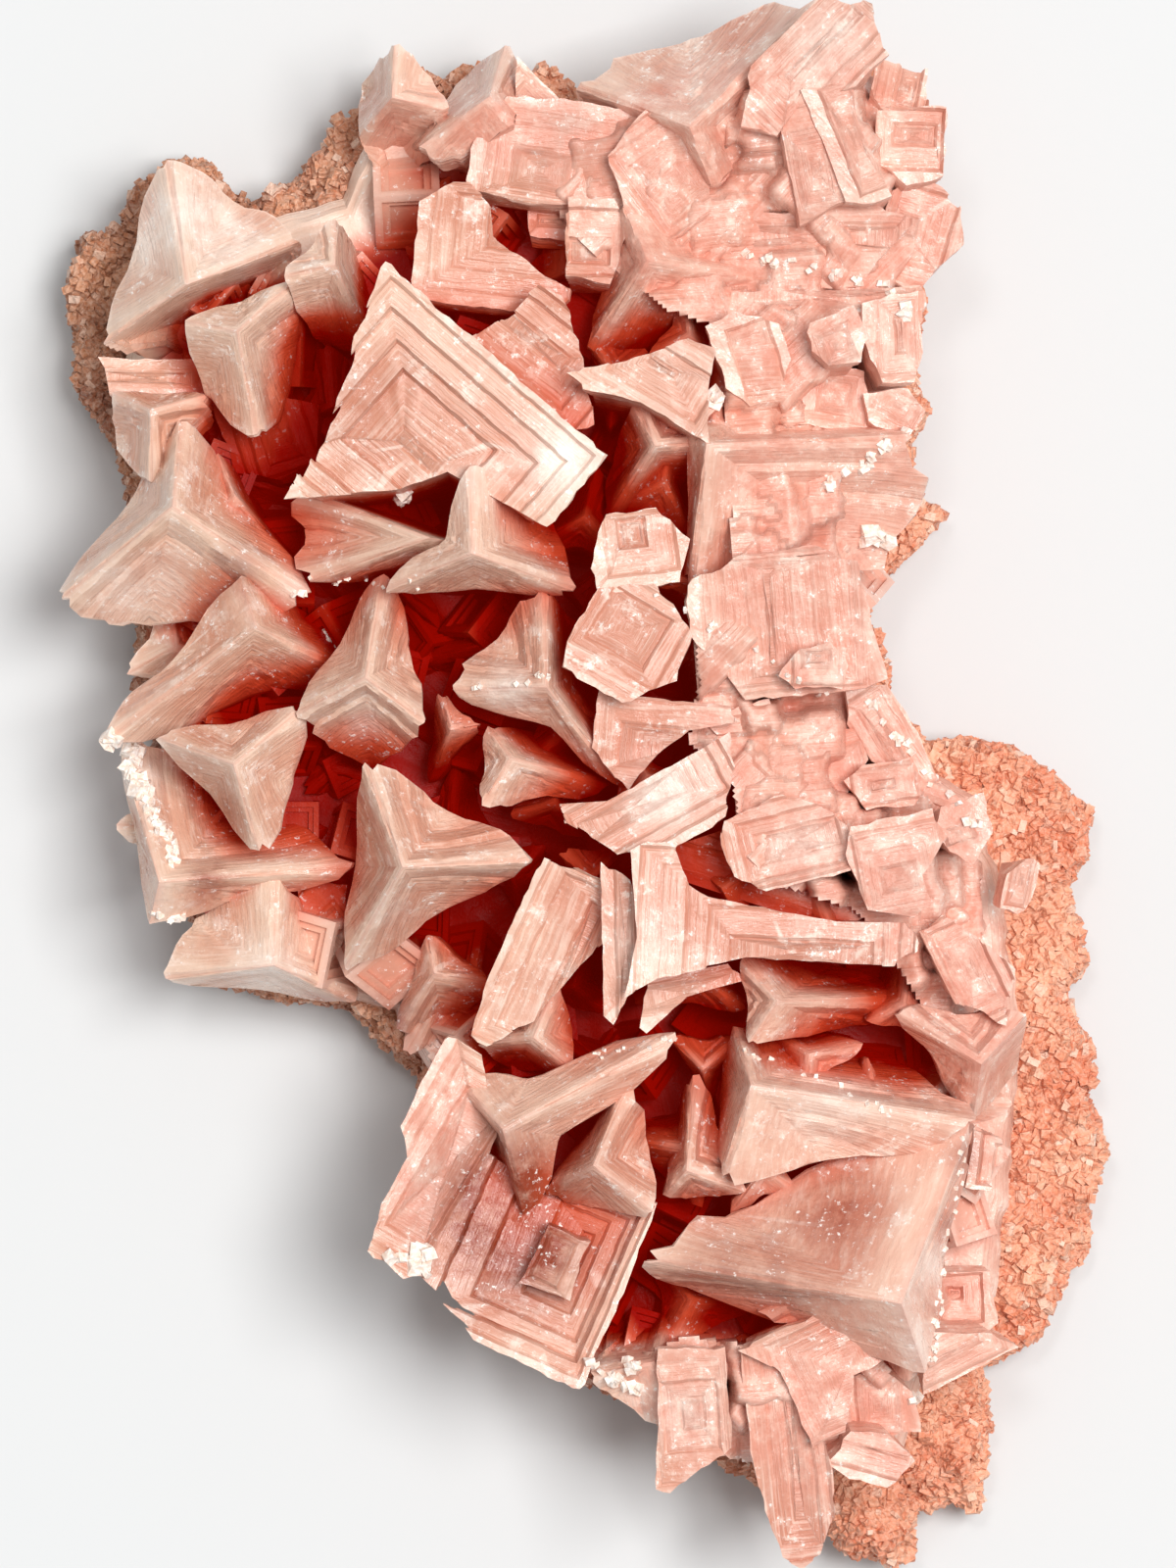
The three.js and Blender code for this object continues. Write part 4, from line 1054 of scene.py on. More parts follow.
class Jumble:
    """A field of heights, in millimetres, on which overlapping square blocks are stamped."""

    def __init__(self, outlines, cell, base, turn, seed):
        self.cell = cell
        self.dice = np.random.default_rng(seed)
        self.axes = np.array([[math.cos(turn), math.sin(turn)], [-math.sin(turn), math.cos(turn)]])
        spots = np.array([place(spot)[:2] for outline in outlines for spot in outline]) @ self.axes.T
        self.low = spots.min(0) - 2.0
        shape = np.ceil((spots.max(0) + 2.0 - self.low) / cell).astype(int) + 1
        spans = [self.low[k] + cell * np.arange(shape[k]) for k in (0, 1)]
        self.x, self.y = np.meshgrid(*spans, indexing="ij")
        self.height = np.full(self.x.shape, base)
        self.u, self.v = self.x.copy(), self.y.copy()
        self.tone = np.full(self.x.shape, 0.5)
        self.hollow = np.full(self.x.shape, 0.6)
        self.jag = [self.lattice(1.0), self.lattice(1.3)]
        self.lumps = self.lattice(cell) * 0.35 + self.lattice(3 * cell) * 0.65

    def lattice(self, size):
        """Values from -1 to 1 that are level over squares of the given size."""
        rough_shape = [int(length * self.cell / size) + 2 for length in self.x.shape]
        values = self.dice.uniform(-1, 1, rough_shape)
        at = [((grid - self.low[k]) / size).astype(int) for k, grid in ((0, self.x), (1, self.y))]
        return values[at[0], at[1]]

    def level_points(self):
        """Where the field's points stand on the plane, in the specimen's frame."""
        return np.stack([self.x.ravel(), self.y.ravel()], -1) @ self.axes

    def stamp(self, spot, half, turn, top, lean, step, tone):
        """Stamps one block with sunken frames; it shows wherever it is the highest so far."""
        reach = max(half) * 1.5
        part = tuple(
            slice(
                max(0, int((spot[k] - reach - self.low[k]) / self.cell)),
                max(0, int((spot[k] + reach - self.low[k]) / self.cell) + 2),
            )
            for k in (0, 1)
        )
        dx, dy = self.x[part] - spot[0], self.y[part] - spot[1]
        u = dx * math.cos(turn) + dy * math.sin(turn)
        v = dy * math.cos(turn) - dx * math.sin(turn)
        inward = [half[k] - np.abs(way) + BLOCK_JAG * self.jag[k][part] for k, way in enumerate((u, v))]
        edge = np.minimum(*inward)
        sunk = step * np.clip(np.floor((edge - BLOCK_RIM) / BLOCK_FRAME), 0, BLOCK_FRAMES)
        height = top + lean[0] * u + lean[1] * v - sunk
        wins = (edge > 0) & (height > self.height[part])
        # A block counts as more hollow further in from its edge, so its sunken middle is painted darker as
        # shade.
        hollow = np.clip(0.3 + 0.25 * edge, 0.3, 0.9)
        fields = [self.height, self.u, self.v, self.tone, self.hollow]
        for field, value in zip(fields, [height, u, v, tone, hollow]):
            field[part] = np.where(wins, value, field[part])

    def melt(self, rounds):
        """Rounds the field off, as if the blocks had begun to dissolve."""
        for _ in range(rounds):
            near = np.pad(self.height, 1, mode="edge")
            around = near[2:, 1:-1] + near[:-2, 1:-1] + near[1:-1, 2:] + near[1:-1, :-2]
            self.height = 0.5 * self.height + 0.125 * around

    def piece(self, name, keep, foot, lump):
        """The kept part of the field as one closed skin that stands on a flat foot."""
        height = self.height + lump * self.lumps
        count = self.x.size
        top = np.column_stack([self.level_points(), height.ravel()])
        low = top.copy()
        low[:, 2] = foot
        number = np.arange(count).reshape(self.x.shape)
        square = [number[:-1, :-1], number[1:, :-1], number[1:, 1:], number[:-1, 1:]]
        kept = keep[:-1, :-1] & keep[1:, :-1] & keep[1:, 1:] & keep[:-1, 1:]
        faces = np.stack([corner[kept] for corner in square], -1)
        framed = np.pad(kept, 1)
        walls = []
        for a, b, shift in ((0, 1, (0, -1)), (1, 2, (1, 0)), (2, 3, (0, 1)), (3, 0, (-1, 0))):
            start = 1 + shift[0], 1 + shift[1]
            beyond = framed[start[0]:start[0] + kept.shape[0], start[1]:start[1] + kept.shape[1]]
            bare = kept & ~beyond
            first, second = square[a][bare], square[b][bare]
            walls.append(np.stack([first, first + count, second + count, second], -1))
        faces = np.concatenate([faces, faces[:, ::-1] + count, *walls])
        used, faces = np.unique(faces, return_inverse=True)
        faces = faces.reshape(-1, 4)
        skin = bpy.data.meshes.new(name)
        skin.from_pydata((np.concatenate([top, low])[used] * MM).tolist(), [], faces.tolist())
        picked = used[faces.ravel()] % count
        layer = skin.uv_layers.new(name="grain")
        laid = np.stack([self.u.ravel()[picked], self.v.ravel()[picked] + BLOCK_GRAIN], -1)
        layer.data.foreach_set("uv", laid.ravel())
        carry(skin, "hollow", self.hollow.ravel()[picked], "CORNER")
        carry(skin, "tone", self.tone.ravel()[picked], "CORNER")
        return stand(name, skin)


# Fields of blocks, in millimetres: the grid, the lumps, and how high the crystals over a block must be
FIELD_CELL = 0.42
FIELD_LUMP = 0.12
BLOCK_FLOOR = 17

# Blocks, in millimetres: half the side of the least one, what the largest has more, and their drop
BLOCK_HALF = 1.8
BLOCK_GAIN = 3.0
BLOCK_DROP = (0.3, 4.0)

# A field is left out where the crystals over it are lower than this, in metres
KEPT_LEVEL = 0.016

# How often a field is melted, and the steps, turns and leans of its blocks
MELT_ROUNDS = 3
BLOCK_STEPS = [0.4, 0.2, -0.3, 0.0, 0.0]
BLOCK_TURN = 0.04
BLOCK_LEAN = 0.36


def filled_blocks(name, count, turn, seed):
    """The blocks and plates that fill the gaps, grown into each other, all near one turn."""
    field = Jumble(FILLED, FIELD_CELL, BED_TOP - 0.5, turn, seed)
    dice = field.dice
    spots = np.stack([dice.uniform(grid.min(), grid.max(), count) for grid in (field.x, field.y)], -1)
    spots = spots[filled_share(spots @ field.axes * MM) > 0.5]
    for spot, around in zip(spots, level_over(spots @ field.axes * MM) / MM):
        if around < BLOCK_FLOOR:
            continue
        small = dice.uniform(0, 1)
        half = (BLOCK_HALF + BLOCK_GAIN * small * small) * dice.uniform(0.6, 1.6, 2)
        top = max(around - dice.uniform(*BLOCK_DROP) - 0.3 * max(half), BED_TOP)
        slant = dice.uniform(-BLOCK_TURN, BLOCK_TURN)
        lean = dice.uniform(-BLOCK_LEAN, BLOCK_LEAN, 2)
        field.stamp(spot, half, slant, top, lean, dice.choice(BLOCK_STEPS), dice.uniform(0, 1))
    points = field.level_points() * MM
    keep = (filled_share(points) > 0.5) & (level_over(points) > KEPT_LEVEL)
    field.melt(MELT_ROUNDS)
    return field.piece(name, keep.reshape(field.x.shape), BED_TOP - 3, FIELD_LUMP)


lesser = grow_together("lesser_crystals", lesser_crystals(chance, count=2600, spacing=7.4))
blocks = filled_blocks("filled_blocks", count=700, turn=0.08, seed=3)
turned_blocks = filled_blocks("turned_blocks", count=700, turn=0.8, seed=4)


def make_pinker(mesh, share):
    """Raises how hollow every face of a mesh counts, and so how pink it is and how much painted hollow shade
    it gets.
    """
    hollow = np.empty(len(mesh.loops))
    mesh.attributes["hollow"].data.foreach_get("value", hollow)
    mesh.attributes["hollow"].data.foreach_set("value", hollow + share)


crystals = [corners, plates, lesser, blocks, turned_blocks]
for piece in crystals:
    mark_depth(piece.data)
    mark_tint_and_painted_light(piece.data)
for piece in (plates, blocks, turned_blocks):
    make_pinker(piece.data, FLAT_FACE_PINK)


# Colours of the pink halite; where there are two, first at the left and then at the right
CREST = hue(230, 195, 172), hue(232, 186, 165)
# Painted shade: the darker, deeper pink that hollows, lower flanks and sunken frames are painted towards;
# also the pinker colour of flat faces.
INNER_PINK_AND_SHADE = hue(208, 147, 121), hue(208, 138, 116)
# Whiter salt, and painted highlight on faces that catch the light
WHITER_AND_HIGHLIT = hue(255, 240, 228)
GROWTH_LINE = hue(210, 128, 104)
# Paler salt along growth lines, and painted glints along them
PALE_STREAK_AND_GLINT = hue(252, 230, 214)
FROST = hue(252, 230, 216)
# Frosted salt on edges, and painted highlight where thin edges let light through
EDGE_FROST_AND_HIGHLIGHT = hue(255, 234, 220)
# Painted shade in concave creases
CREASE_SHADE = hue(236, 124, 92)
# Painted shade in the groove along each crest
CREST_GROOVE_SHADE = hue(208, 128, 106)
MELTED_DARK = hue(222, 150, 130)
MELTED_PALE = hue(244, 202, 184)
# Browner salt, and painted shade in recesses
BROWNER_AND_SHADED = hue(150, 62, 36)
# Painted shade: the red of the gaps between the crystals
RED_PIT_SHADE = hue(206, 84, 52)
# Painted glints
PAINTED_GLINT = hue(255, 248, 242)
# Painted shade: the dark red of the deepest gaps
DEEP_PIT_SHADE = hue(140, 6, 0)
# Painted light: the faint red glow of the deepest gaps
GLOW = hue(60, 2, 0)
NO_GLOW = (0.0, 0.0, 0.0, 1.0)


def pink_halite():
    recipe = Recipe("pink_halite")
    mix, times, span = recipe.mix, recipe.times, recipe.range
    here = recipe.here()
    grain = recipe.node("ShaderNodeUVMap", uv_map="grain").outputs[0]
    from_crest = recipe.node("ShaderNodeSeparateXYZ", {0: grain}).outputs["Y"]
    depth, tone, hollow = [recipe.carried(name) for name in ("depth", "tone", "hollow")]
    tint_and_painted_light, filled = [recipe.carried(name) for name in ("tint_and_painted_light", "filled")]
    wavy = recipe.node("ShaderNodeTexNoise", {"Vector": here, "Scale": 200.0, "Detail": 1.0}).outputs["Color"]
    bent = mix(0.25, grain, wavy, "ADD")

    def streaks(along, across, detail, roughness):
        """Noise drawn out along the crystal's growth lines; the scales are per millimetre."""
        space = recipe.node("ShaderNodeMapping", {"Vector": bent, "Scale": (along, across, 1.0)}).outputs[0]
        return recipe.noise(space, 1.0, detail, roughness)

    fine = streaks(0.12, 3.0, 4.0, 0.6)
    broad = streaks(0.05, 0.8, 2.0, 0.5)
    cloud = recipe.noise(here, scale=90.0, detail=2.0)
    sugar = recipe.noise(here, scale=1500.0, detail=4.0, roughness=0.7)
    frost = recipe.noise(here, scale=300.0, detail=6.0, roughness=0.75)
    left_to_right = span(recipe.node("ShaderNodeSeparateXYZ", {0: here}).outputs["X"], -0.035, 0.03)
    crest, inner_pink_and_shade = [mix(left_to_right, left, right) for left, right in (CREST, INNER_PINK_AND_SHADE)]
    clouded = recipe.add(hollow, span(cloud, 0.35, 0.65, -0.4, 0.25))
    shifted = recipe.add(clouded, span(tone, 0.0, 1.0, -0.12, 0.12))
    # The listed spots: whiter salt with painted highlights above 0, browner salt with painted shade in
    # recesses below 0.
    uneven = times(tint_and_painted_light, span(frost, 0.35, 0.6, 0.5, 1.2))
    # Hollows, lower flanks and sunken frames painted darker as shade, mixed with deeper pink.
    body = mix(span(shifted, 0.05, 0.95), crest, inner_pink_and_shade)
    body = mix(span(uneven, 0.05, 0.9), body, WHITER_AND_HIGHLIT)
    lined = mix(span(fine, 0.45, 0.3, 0.0, 0.22), body, GROWTH_LINE)
    # Pale streaks along the growth lines: partly paler salt, partly painted glints.
    pale = mix(span(fine, 0.5, 0.68, 0.0, 0.42), lined, PALE_STREAK_AND_GLINT)
    pale = mix(times(span(frost, 0.54, 0.62), span(broad, 0.4, 0.6, 0.15, 0.75)), pale, FROST)
    # Convex edges painted paler: partly frosted salt, partly painted highlight on thin edges.
    edge = recipe.node("ShaderNodeNewGeometry").outputs["Pointiness"]
    edge_frost_and_highlight = mix(span(edge, 0.52, 0.6, 0.0, 0.5), pale, EDGE_FROST_AND_HIGHLIGHT)
    # Painted shade: concave creases, such as the foot of a frame, painted darker and redder.
    crease_shade = mix(span(edge, 0.49, 0.4, 0.0, 0.18), edge_frost_and_highlight, CREASE_SHADE)
    # Painted shade: the groove along each arm's crest painted darker pink.
    groove_shade = mix(span(from_crest, 0.4, 0.0, 0.0, 0.35), crease_shade, CREST_GROOVE_SHADE)
    melted = mix(span(frost, 0.42, 0.62), MELTED_DARK, MELTED_PALE)
    merged = mix(times(filled, span(cloud, 0.35, 0.6, 0.35, 0.8)), groove_shade, melted)
    # Browner salt and painted shade in recesses where the spots are below 0.
    browned_and_shaded = mix(span(uneven, -0.05, -0.9), merged, BROWNER_AND_SHADED)
    # Painted shade: the deeper a point lies below the crystals around it, the redder and then darker red it
    # is painted, with a faint painted red glow in the deepest gaps; reflection is turned down there too.
    pit_shade = mix(span(depth, 0.15, 0.55), browned_and_shaded, RED_PIT_SHADE)
    # Painted glints: tiny white specks where the fine noise peaks on the frosty parts.
    glinting = mix(times(span(sugar, 0.58, 0.64), span(frost, 0.48, 0.58, 0.0, 0.9)), pit_shade, PAINTED_GLINT)
    height = recipe.add(times(fine, 0.6), times(broad, 0.5))
    for finer, share in ((frost, 0.35), (sugar, 0.2)):
        height = recipe.add(height, times(finer, share))
    bump = recipe.bump(height, strength=0.6, distance=0.0006)
    recipe.shade(
        Base_Color=mix(span(depth, 0.45, 0.8), glinting, DEEP_PIT_SHADE),
        Roughness=span(fine, 0.4, 0.6, 0.25, 0.5),
        IOR=HALITE_IOR, Specular_IOR_Level=span(depth, 0.25, 0.7, 0.5, 0.05),
        Coat_Weight=span(depth, 0.2, 0.5, 0.3, 0.0), Coat_Roughness=0.15,
        Normal=bump, Coat_Normal=bump,
        Emission_Color=mix(span(depth, 0.3, 0.8), NO_GLOW, GLOW), Emission_Strength=1.0,
    )
    recipe.material.cycles.emission_sampling = "NONE"
    return recipe.material


# Angles between faces, in radians, above which an edge stays sharp
SHARP_ANGLE = 0.5
MELTED_SHARP_ANGLE = 1.2
crystal_material = pink_halite()
for piece in crystals:
    piece.data.shade_smooth()
    melted = piece in (blocks, turned_blocks)
    piece.data.set_sharp_from_angle(angle=MELTED_SHARP_ANGLE if melted else SHARP_ANGLE)
    piece.data.materials.clear()
    piece.data.materials.append(crystal_material)
    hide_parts("pink_crystals")
    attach(piece, "root")

# Salt grains
# Loose grains of the crust's own salt lie all over its bare parts, little blocks turned every way,
# too small and too many to be cut as solids.

FULL_TURN = 6.283


class Tree(Nodes):
    """A geometry node tree that strews crystals over a base mesh."""

    def __init__(self, name, *extra):
        super().__init__(bpy.data.node_groups.new(name, "GeometryNodeTree"))
        for way in ("INPUT", "OUTPUT"):
            self.tree.interface.new_socket("Geometry", in_out=way, socket_type="NodeSocketGeometry")
        kinds = {"Seed": "NodeSocketInt", "Material": "NodeSocketMaterial"}
        self.sockets = {}
        for label in ("Spacing", "Seed", "Smallest", "Largest", "Material", *extra):
            kind = kinds.get(label, "NodeSocketFloat")
            socket = self.tree.interface.new_socket(label, in_out="INPUT", socket_type=kind)
            self.sockets[label] = socket.identifier
        self.given = self.tree.nodes.new("NodeGroupInput").outputs
        self.result = self.tree.nodes.new("NodeGroupOutput")

    def random(self, low, high, number, kind="FLOAT"):
        """A random value per point, its seed set off from the tree's own by the given number."""
        own = self.node("ShaderNodeMath", {0: self.given["Seed"], 1: number}, operation="ADD").outputs[0]
        made = self.node("FunctionNodeRandomValue", data_type=kind)
        return self.feed_named(made, {"Min": low, "Max": high, "Seed": own})

    def side(self, number):
        """A random length between the smallest and the largest."""
        return self.random(self.given["Smallest"], self.given["Largest"], number)

    def vector(self, **parts):
        return self.node("ShaderNodeCombineXYZ", parts).outputs[0]

    def cube(self):
        return self.node("GeometryNodeMeshCube", {"Size": (1.0, 1.0, 1.0)}).outputs["Mesh"]

    def spots(self, densest):
        """Points strewn over the base mesh, no closer than the spacing."""
        return self.node("GeometryNodeDistributePointsOnFaces", {
            "Mesh": self.given["Geometry"], "Distance Min": self.given["Spacing"],
            "Density Max": densest, "Seed": self.given["Seed"],
        }, distribute_method="POISSON").outputs["Points"]

    def finish(self, crystals, number):
        """Gives every crystal a tone and the material, and makes them all one mesh."""
        toned = self.node("GeometryNodeStoreNamedAttribute", {
            "Geometry": crystals, "Name": "tone", "Value": self.random(0.0, 1.0, number),
        }, data_type="FLOAT", domain="INSTANCE").outputs[0]
        real = self.node("GeometryNodeRealizeInstances", {"Geometry": toned}).outputs[0]
        self.feed(self.result.inputs[0], self.node("GeometryNodeSetMaterial", {
            "Geometry": real, "Material": self.given["Material"],
        }).outputs[0])

    def grow(self, base, name, values):
        """Runs the tree on a base mesh and returns the result as a plain object."""
        holder = stand(name, base)
        modifier = holder.modifiers.new(name, "NODES")
        modifier.node_group = self.tree
        for label, value in values.items():
            modifier[self.sockets[label]] = value
        grown = as_evaluated(holder)
        holder.modifiers.remove(modifier)
        holder.data = grown
        grown.name = name
        return holder


def salt_grain_tree():
    tree = Tree("salt_grains")
    turn = tree.random((0.0, 0.0, 0.0), (FULL_TURN, FULL_TURN, FULL_TURN), 1, "FLOAT_VECTOR")
    grains = tree.node("GeometryNodeInstanceOnPoints", {
        "Points": tree.spots(3000000.0), "Instance": tree.cube(), "Rotation": turn,
        "Scale": tree.vector(X=tree.side(2), Y=tree.side(3), Z=tree.side(4)),
    })
    tree.finish(grains.outputs[0], 5)
    return tree


def grown_over(mesh, name, lowest, keep):
    """The faces of a mesh above the given height whose middle keep accepts, as a mesh of their own."""
    spots = points_of(mesh)
    faces = [tuple(face.vertices) for face in mesh.polygons]
    middles = np.array([spots[list(face)].mean(0) for face in faces])
    chosen = (middles[:, 2] > lowest) & keep(middles)
    sheet = bpy.data.meshes.new(name)
    sheet.from_pydata(spots.tolist(), [], [face for face, kept in zip(faces, chosen) if kept])
    return sheet


BED_EDGE = 0.96


def outside_bed(points):
    """Which points, in metres, lie outside the bed of the crystals."""
    heart = place(RING_CENTRE)[:2] * MM
    ring = np.array([place(spot)[:2] * MM for spot in BED_OUTLINE]) - heart
    around = np.arctan2(ring[:, 1], ring[:, 0])
    order = np.argsort(around)
    out = points[:, :2] - heart
    facing = np.arctan2(out[:, 1], out[:, 0])
    rim = np.hypot(ring[order, 0], ring[order, 1])
    reach = np.interp(facing, around[order], rim, period=2 * math.pi)
    return np.hypot(out[:, 0], out[:, 1]) > BED_EDGE * reach


bare_crust = grown_over(crust.data, "salt_grains", lowest=0.0012, keep=outside_bed)
salt_grains = salt_grain_tree().grow(bare_crust, "salt_grains", {
    "Spacing": 0.00085, "Seed": 5, "Smallest": 0.0004, "Largest": 0.0013, "Material": crust_material,
})
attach(salt_grains, "root")

# Small crystals
# Between the large crystals sit small ones of the same pink halite, cubes with sunken faces that
# grew on the bed wherever there was room, turned every way.

# Share of a face inside each frame, and how far it sinks, for an edge of 1
SUNKEN_FRAMES = [(0.76, -0.07), (0.7, -0.09)]


def small_crystal_tree():
    tree = Tree("small_crystals", "Lift", "Tilt")
    shape = tree.cube()
    sunken = True
    for share, sink in SUNKEN_FRAMES:
        tread = tree.node("GeometryNodeExtrudeMesh", {
            "Mesh": shape, "Selection": sunken, "Offset Scale": 0.0, "Individual": True,
        })
        framed = tree.node("GeometryNodeScaleElements", {
            "Geometry": tread.outputs["Mesh"], "Selection": tread.outputs["Top"], "Scale": share,
        })
        riser = tree.node("GeometryNodeExtrudeMesh", {
            "Mesh": framed.outputs[0], "Selection": tread.outputs["Top"], "Offset Scale": sink,
            "Individual": True,
        })
        shape, sunken = riser.outputs["Mesh"], riser.outputs["Top"]
    raised = tree.node("GeometryNodeSetPosition", {
        "Geometry": tree.spots(90000.0), "Offset": tree.vector(Z=tree.random(0.0, tree.given["Lift"], 1)),
    }).outputs[0]
    lean = tree.node("ShaderNodeVectorMath", {
        0: tree.vector(X=tree.random(-1.0, 1.0, 2), Y=tree.random(-1.0, 1.0, 3)), "Scale": tree.given["Tilt"],
    }, operation="SCALE").outputs[0]
    cubes = tree.node("GeometryNodeInstanceOnPoints", {
        "Points": raised, "Instance": shape, "Rotation": lean, "Scale": tree.side(5),
    })
    turned = tree.node("GeometryNodeRotateInstances", {
        "Instances": cubes.outputs[0], "Rotation": tree.vector(Z=tree.random(0.0, FULL_TURN, 4)),
    })
    tree.finish(turned.outputs[0], 6)
    return tree


# Rings of the bed that small crystals stand on, as shares of its outline, and the spacing round them
STANDING_RINGS = [0.88, 0.77, 0.66, 0.55, 0.44, 0.33, 0.22, 0.11]
STANDING_STEP = 4.0


def between_crystals(name, height):
    """The part of the bed's top that small crystals stand on."""
    path = follow(BED_OUTLINE, STANDING_STEP)
    heart = place(RING_CENTRE)
    spots, faces = [], []
    for share in STANDING_RINGS:
        spots += [tuple((heart + (spot - heart) * share)[:2] * MM) + (height * MM,) for spot in path]
    count = len(path)
    for ring in range(len(STANDING_RINGS) - 1):
        for k in range(count):
            m = (k + 1) % count
            corners = (ring * count + k, ring * count + m, (ring + 1) * count + m, (ring + 1) * count + k)
            faces.append(corners)
    sheet = bpy.data.meshes.new(name)
    sheet.from_pydata(spots, [], faces)
    return sheet


small = small_crystal_tree().grow(between_crystals("small_crystals", height=15.0), "small_crystals", {
    "Spacing": 0.0056, "Seed": 11, "Smallest": 0.004, "Largest": 0.0075, "Lift": 0.003, "Tilt": 0.75,
    "Material": crystal_material,
})
mark_depth(small.data)
mark_tint_and_painted_light(small.data)
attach(small, "root")

# White crumbs
# Loose crumbs of white salt stick to the crystals: a chain along one arm at the left, and lone
# ones and little heaps elsewhere on the crystals' tops.

# First and last spot, how many crumbs, and their size in millimetres
CRUMBS = [
    [[110, 752], [138, 768], 16, 1.5], [[128, 775], [146, 812], 22, 1.4], [[146, 812], [180, 880], 36, 0.9],
    [[985, 1160], [950, 1390], 40, 0.6],
    [[160, 935], [200, 937], 8, 0.8], [[398, 500], [414, 510], 5, 1.2], [[722, 406], [734, 416], 3, 1.5],
    [[918, 308], [932, 322], 3, 1.4], [[885, 545], [905, 550], 8, 1.6], [[425, 1270], [436, 1282], 5, 1.6],
    [[400, 1285], [440, 1292], 9, 1.3], [[600, 1390], [655, 1418], 16, 1.0], [[640, 1385],
    [650, 1398], 5, 1.2],
    [[930, 1425], [940, 1435], 4, 1.1], [[330, 645], [345, 665], 6, 0.7], [[300, 600], [320, 620], 5, 0.7],
    [[310, 590], [470, 600], 10, 0.5], [[600, 1080], [690, 1060], 10, 0.5], [[840, 500],
    [930, 440], 16, 0.9],
    [[760, 260], [930, 300], 20, 0.8], [[870, 700], [1000, 850], 20, 0.8], [[660, 600],
    [860, 720], 12, 0.6],
    [[480, 700], [560, 690], 8, 0.6], [[740, 1060], [900, 1130], 12, 0.6],
]


# A crumb lies this far off its line at most, and its half sides are these shares of its size
CRUMB_STRAY = 5
CRUMB_HALF = (0.3, 0.6)


def white_crumbs(dice, standing):
    """Small rough lumps laid on whatever crystal is uppermost at their spots."""
    growth = Growth()
    sides = [(0, 1, 3, 2), (4, 6, 7, 5), (0, 4, 5, 1), (2, 3, 7, 6), (0, 2, 6, 4), (1, 5, 7, 3)]
    bpy.context.view_layer.update()
    for start, end, count, size in CRUMBS:
        for _ in range(count):
            part = dice.random()
            stray = [dice.uniform(-CRUMB_STRAY, CRUMB_STRAY) for _ in range(2)]
            spot = [start[k] + (end[k] - start[k]) * part + stray[k] for k in (0, 1)]
            above = place(spot, 80.0) * MM
            struck = [crystal.ray_cast(above, (0, 0, -1)) for crystal in standing]
            levels = [found[1].z for found in struck if found[0]]
            if not levels:
                continue
            middle = Vector(place(spot, max(levels) / MM + 0.1 * size))
            turn = Euler([dice.uniform(0, FULL_TURN) for _ in range(3)]).to_matrix()
            stretch = [size * dice.uniform(*CRUMB_HALF) for _ in range(3)]
            ids = []
            for corner in range(8):
                signs = [1 if corner >> k & 1 else -1 for k in range(3)]
                local = [signs[k] * stretch[k] * dice.uniform(0.6, 1.1) for k in range(3)]
                ids.append(growth.add(np.array(middle + turn @ Vector(local))))
            for side in sides:
                growth.face(tuple(ids[k] for k in side), [(0, 9)] * 4)
    return growth


crumbs = stand("white_crumbs", white_crumbs(random.Random(3), crystals).mesh("crumbs"))


CRUMB_DARK = hue(242, 218, 200)
CRUMB_PALE = hue(255, 248, 242)


def white_salt():
    recipe = Recipe("white_salt")
    sugar = recipe.noise(recipe.here(), scale=1800.0, detail=4.0)
    recipe.shade(
        Base_Color=recipe.mix(recipe.range(sugar, 0.35, 0.65), CRUMB_DARK, CRUMB_PALE),
        Roughness=0.4, Normal=recipe.bump(sugar, strength=0.7, distance=0.0004), IOR=HALITE_IOR,
    )
    return recipe.material


crumbs.data.materials.append(white_salt())
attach(crumbs, "root")

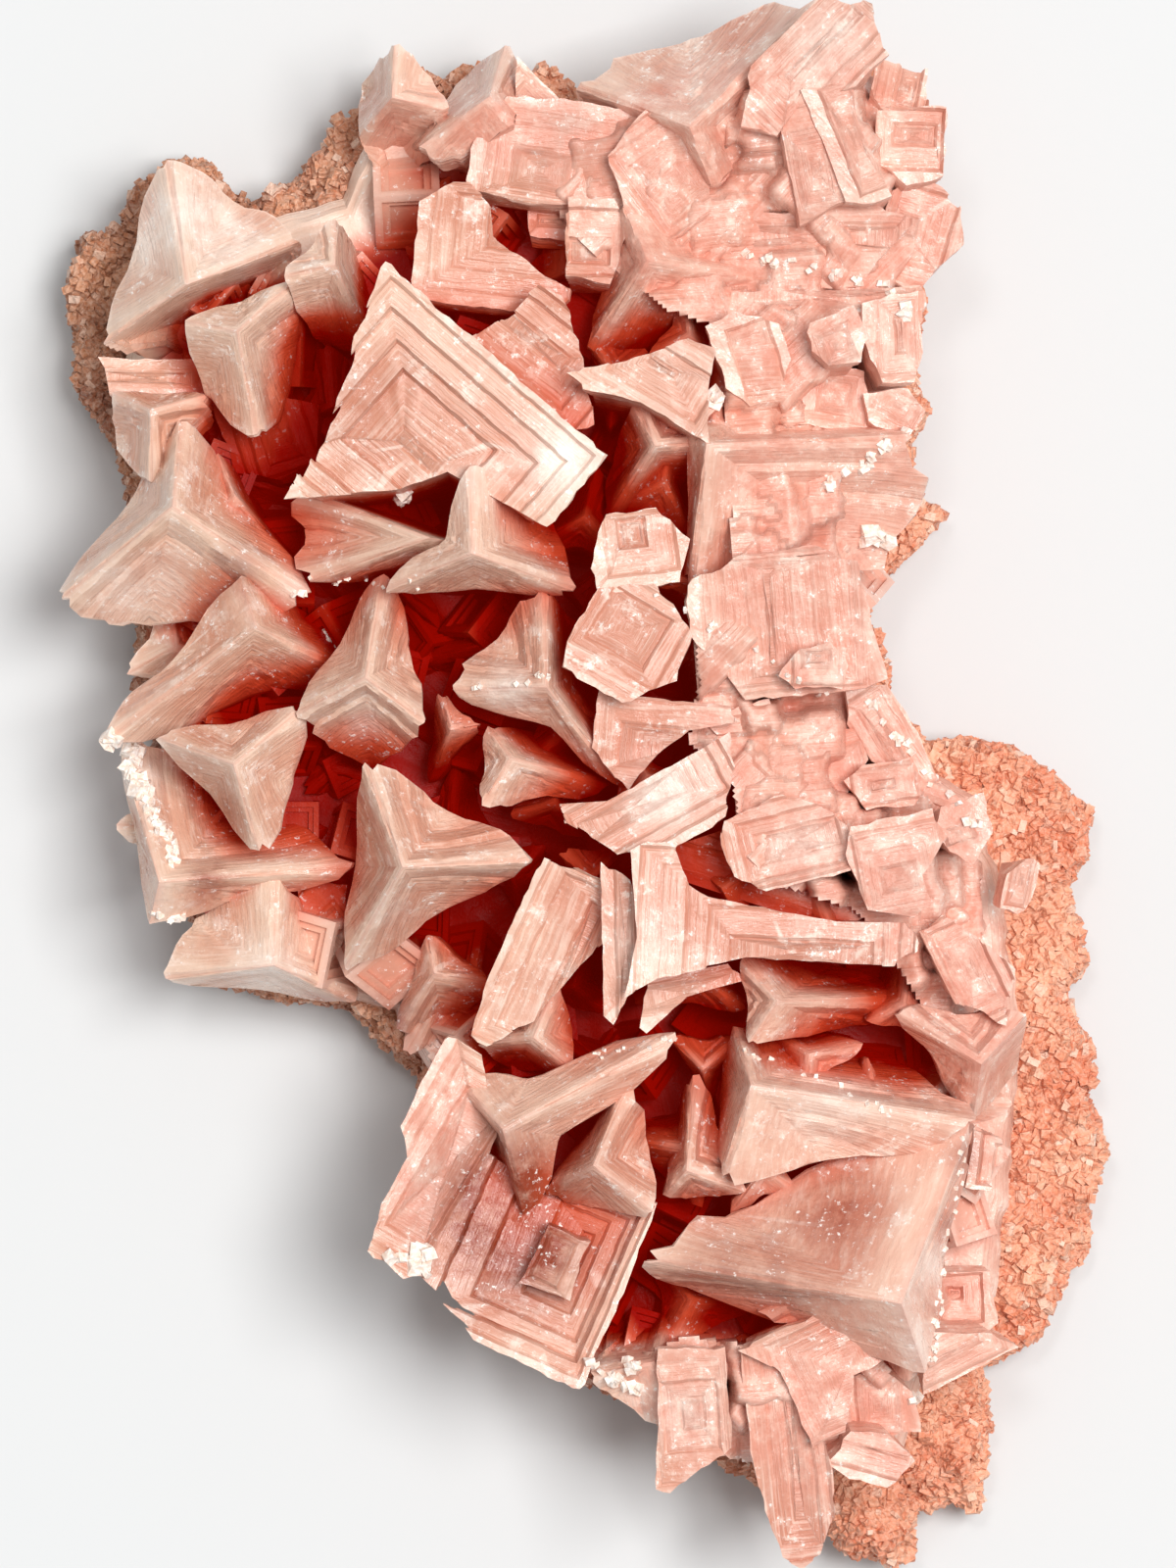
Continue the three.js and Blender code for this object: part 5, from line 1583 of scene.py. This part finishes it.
# Setting
# A plain pale floor, soft light from the right with a pale surround, and the camera straight above.

VIEW_HEIGHT = 0.160
VIEW_LEVEL = 0.025
CAMERA_DISTANCE = 2.0
SENSOR = 36.0
FLOOR_REACH = 3
PAPER = hue(212, 214, 215)
SURROUND_STRENGTH = 0.37

# Lamps: place in metres, the sides of the square they shine from, power in watts, colour
LAMPS = {
    "window": [(0.95, 0.3, 3.2), 1.3, 109.0, (1.0, 0.99, 0.975)],
    "skylight": [(-0.3, 0.75, 3.0), 0.4, 12.0, (1.0, 1.0, 1.0)],
}
LIT_SPOT = (0, 0, 0.02)

floor_corners = [(x * FLOOR_REACH, y * FLOOR_REACH, 0) for x, y in ((-1, -1), (1, -1), (1, 1), (-1, 1))]
floor_mesh = bpy.data.meshes.new("floor")
floor_mesh.from_pydata(floor_corners, [], [(0, 1, 2, 3)])
floor = stand("floor", floor_mesh)
paper = Recipe("pale_floor")
paper.shade(Base_Color=PAPER, Roughness=0.9)
floor_mesh.materials.append(paper.material)

for name, (spot, side, power, colour) in LAMPS.items():
    lamp = bpy.data.lights.new(name, "AREA")
    lamp.shape = "SQUARE"
    lamp.size = side
    lamp.energy = power
    lamp.color = colour
    holder = stand(name, lamp)
    holder.location = spot
    holder.rotation_euler = (Vector(LIT_SPOT) - Vector(spot)).to_track_quat("-Z", "Y").to_euler()

world = bpy.data.worlds.new("surround")
world.use_nodes = True
world.node_tree.nodes["Background"].inputs["Color"].default_value = (1.0, 1.0, 1.0, 1.0)
world.node_tree.nodes["Background"].inputs["Strength"].default_value = SURROUND_STRENGTH
bpy.context.scene.world = world
bpy.context.scene.view_settings.view_transform = "Standard"

camera_lens = bpy.data.cameras.new("camera")
camera_lens.sensor_fit = "VERTICAL"
camera_lens.sensor_height = SENSOR
camera_lens.lens = SENSOR * CAMERA_DISTANCE / VIEW_HEIGHT
camera_lens.clip_end = 20.0
camera = stand("camera", camera_lens)
camera.location = (0, 0, VIEW_LEVEL + CAMERA_DISTANCE)
bpy.context.scene.camera = camera
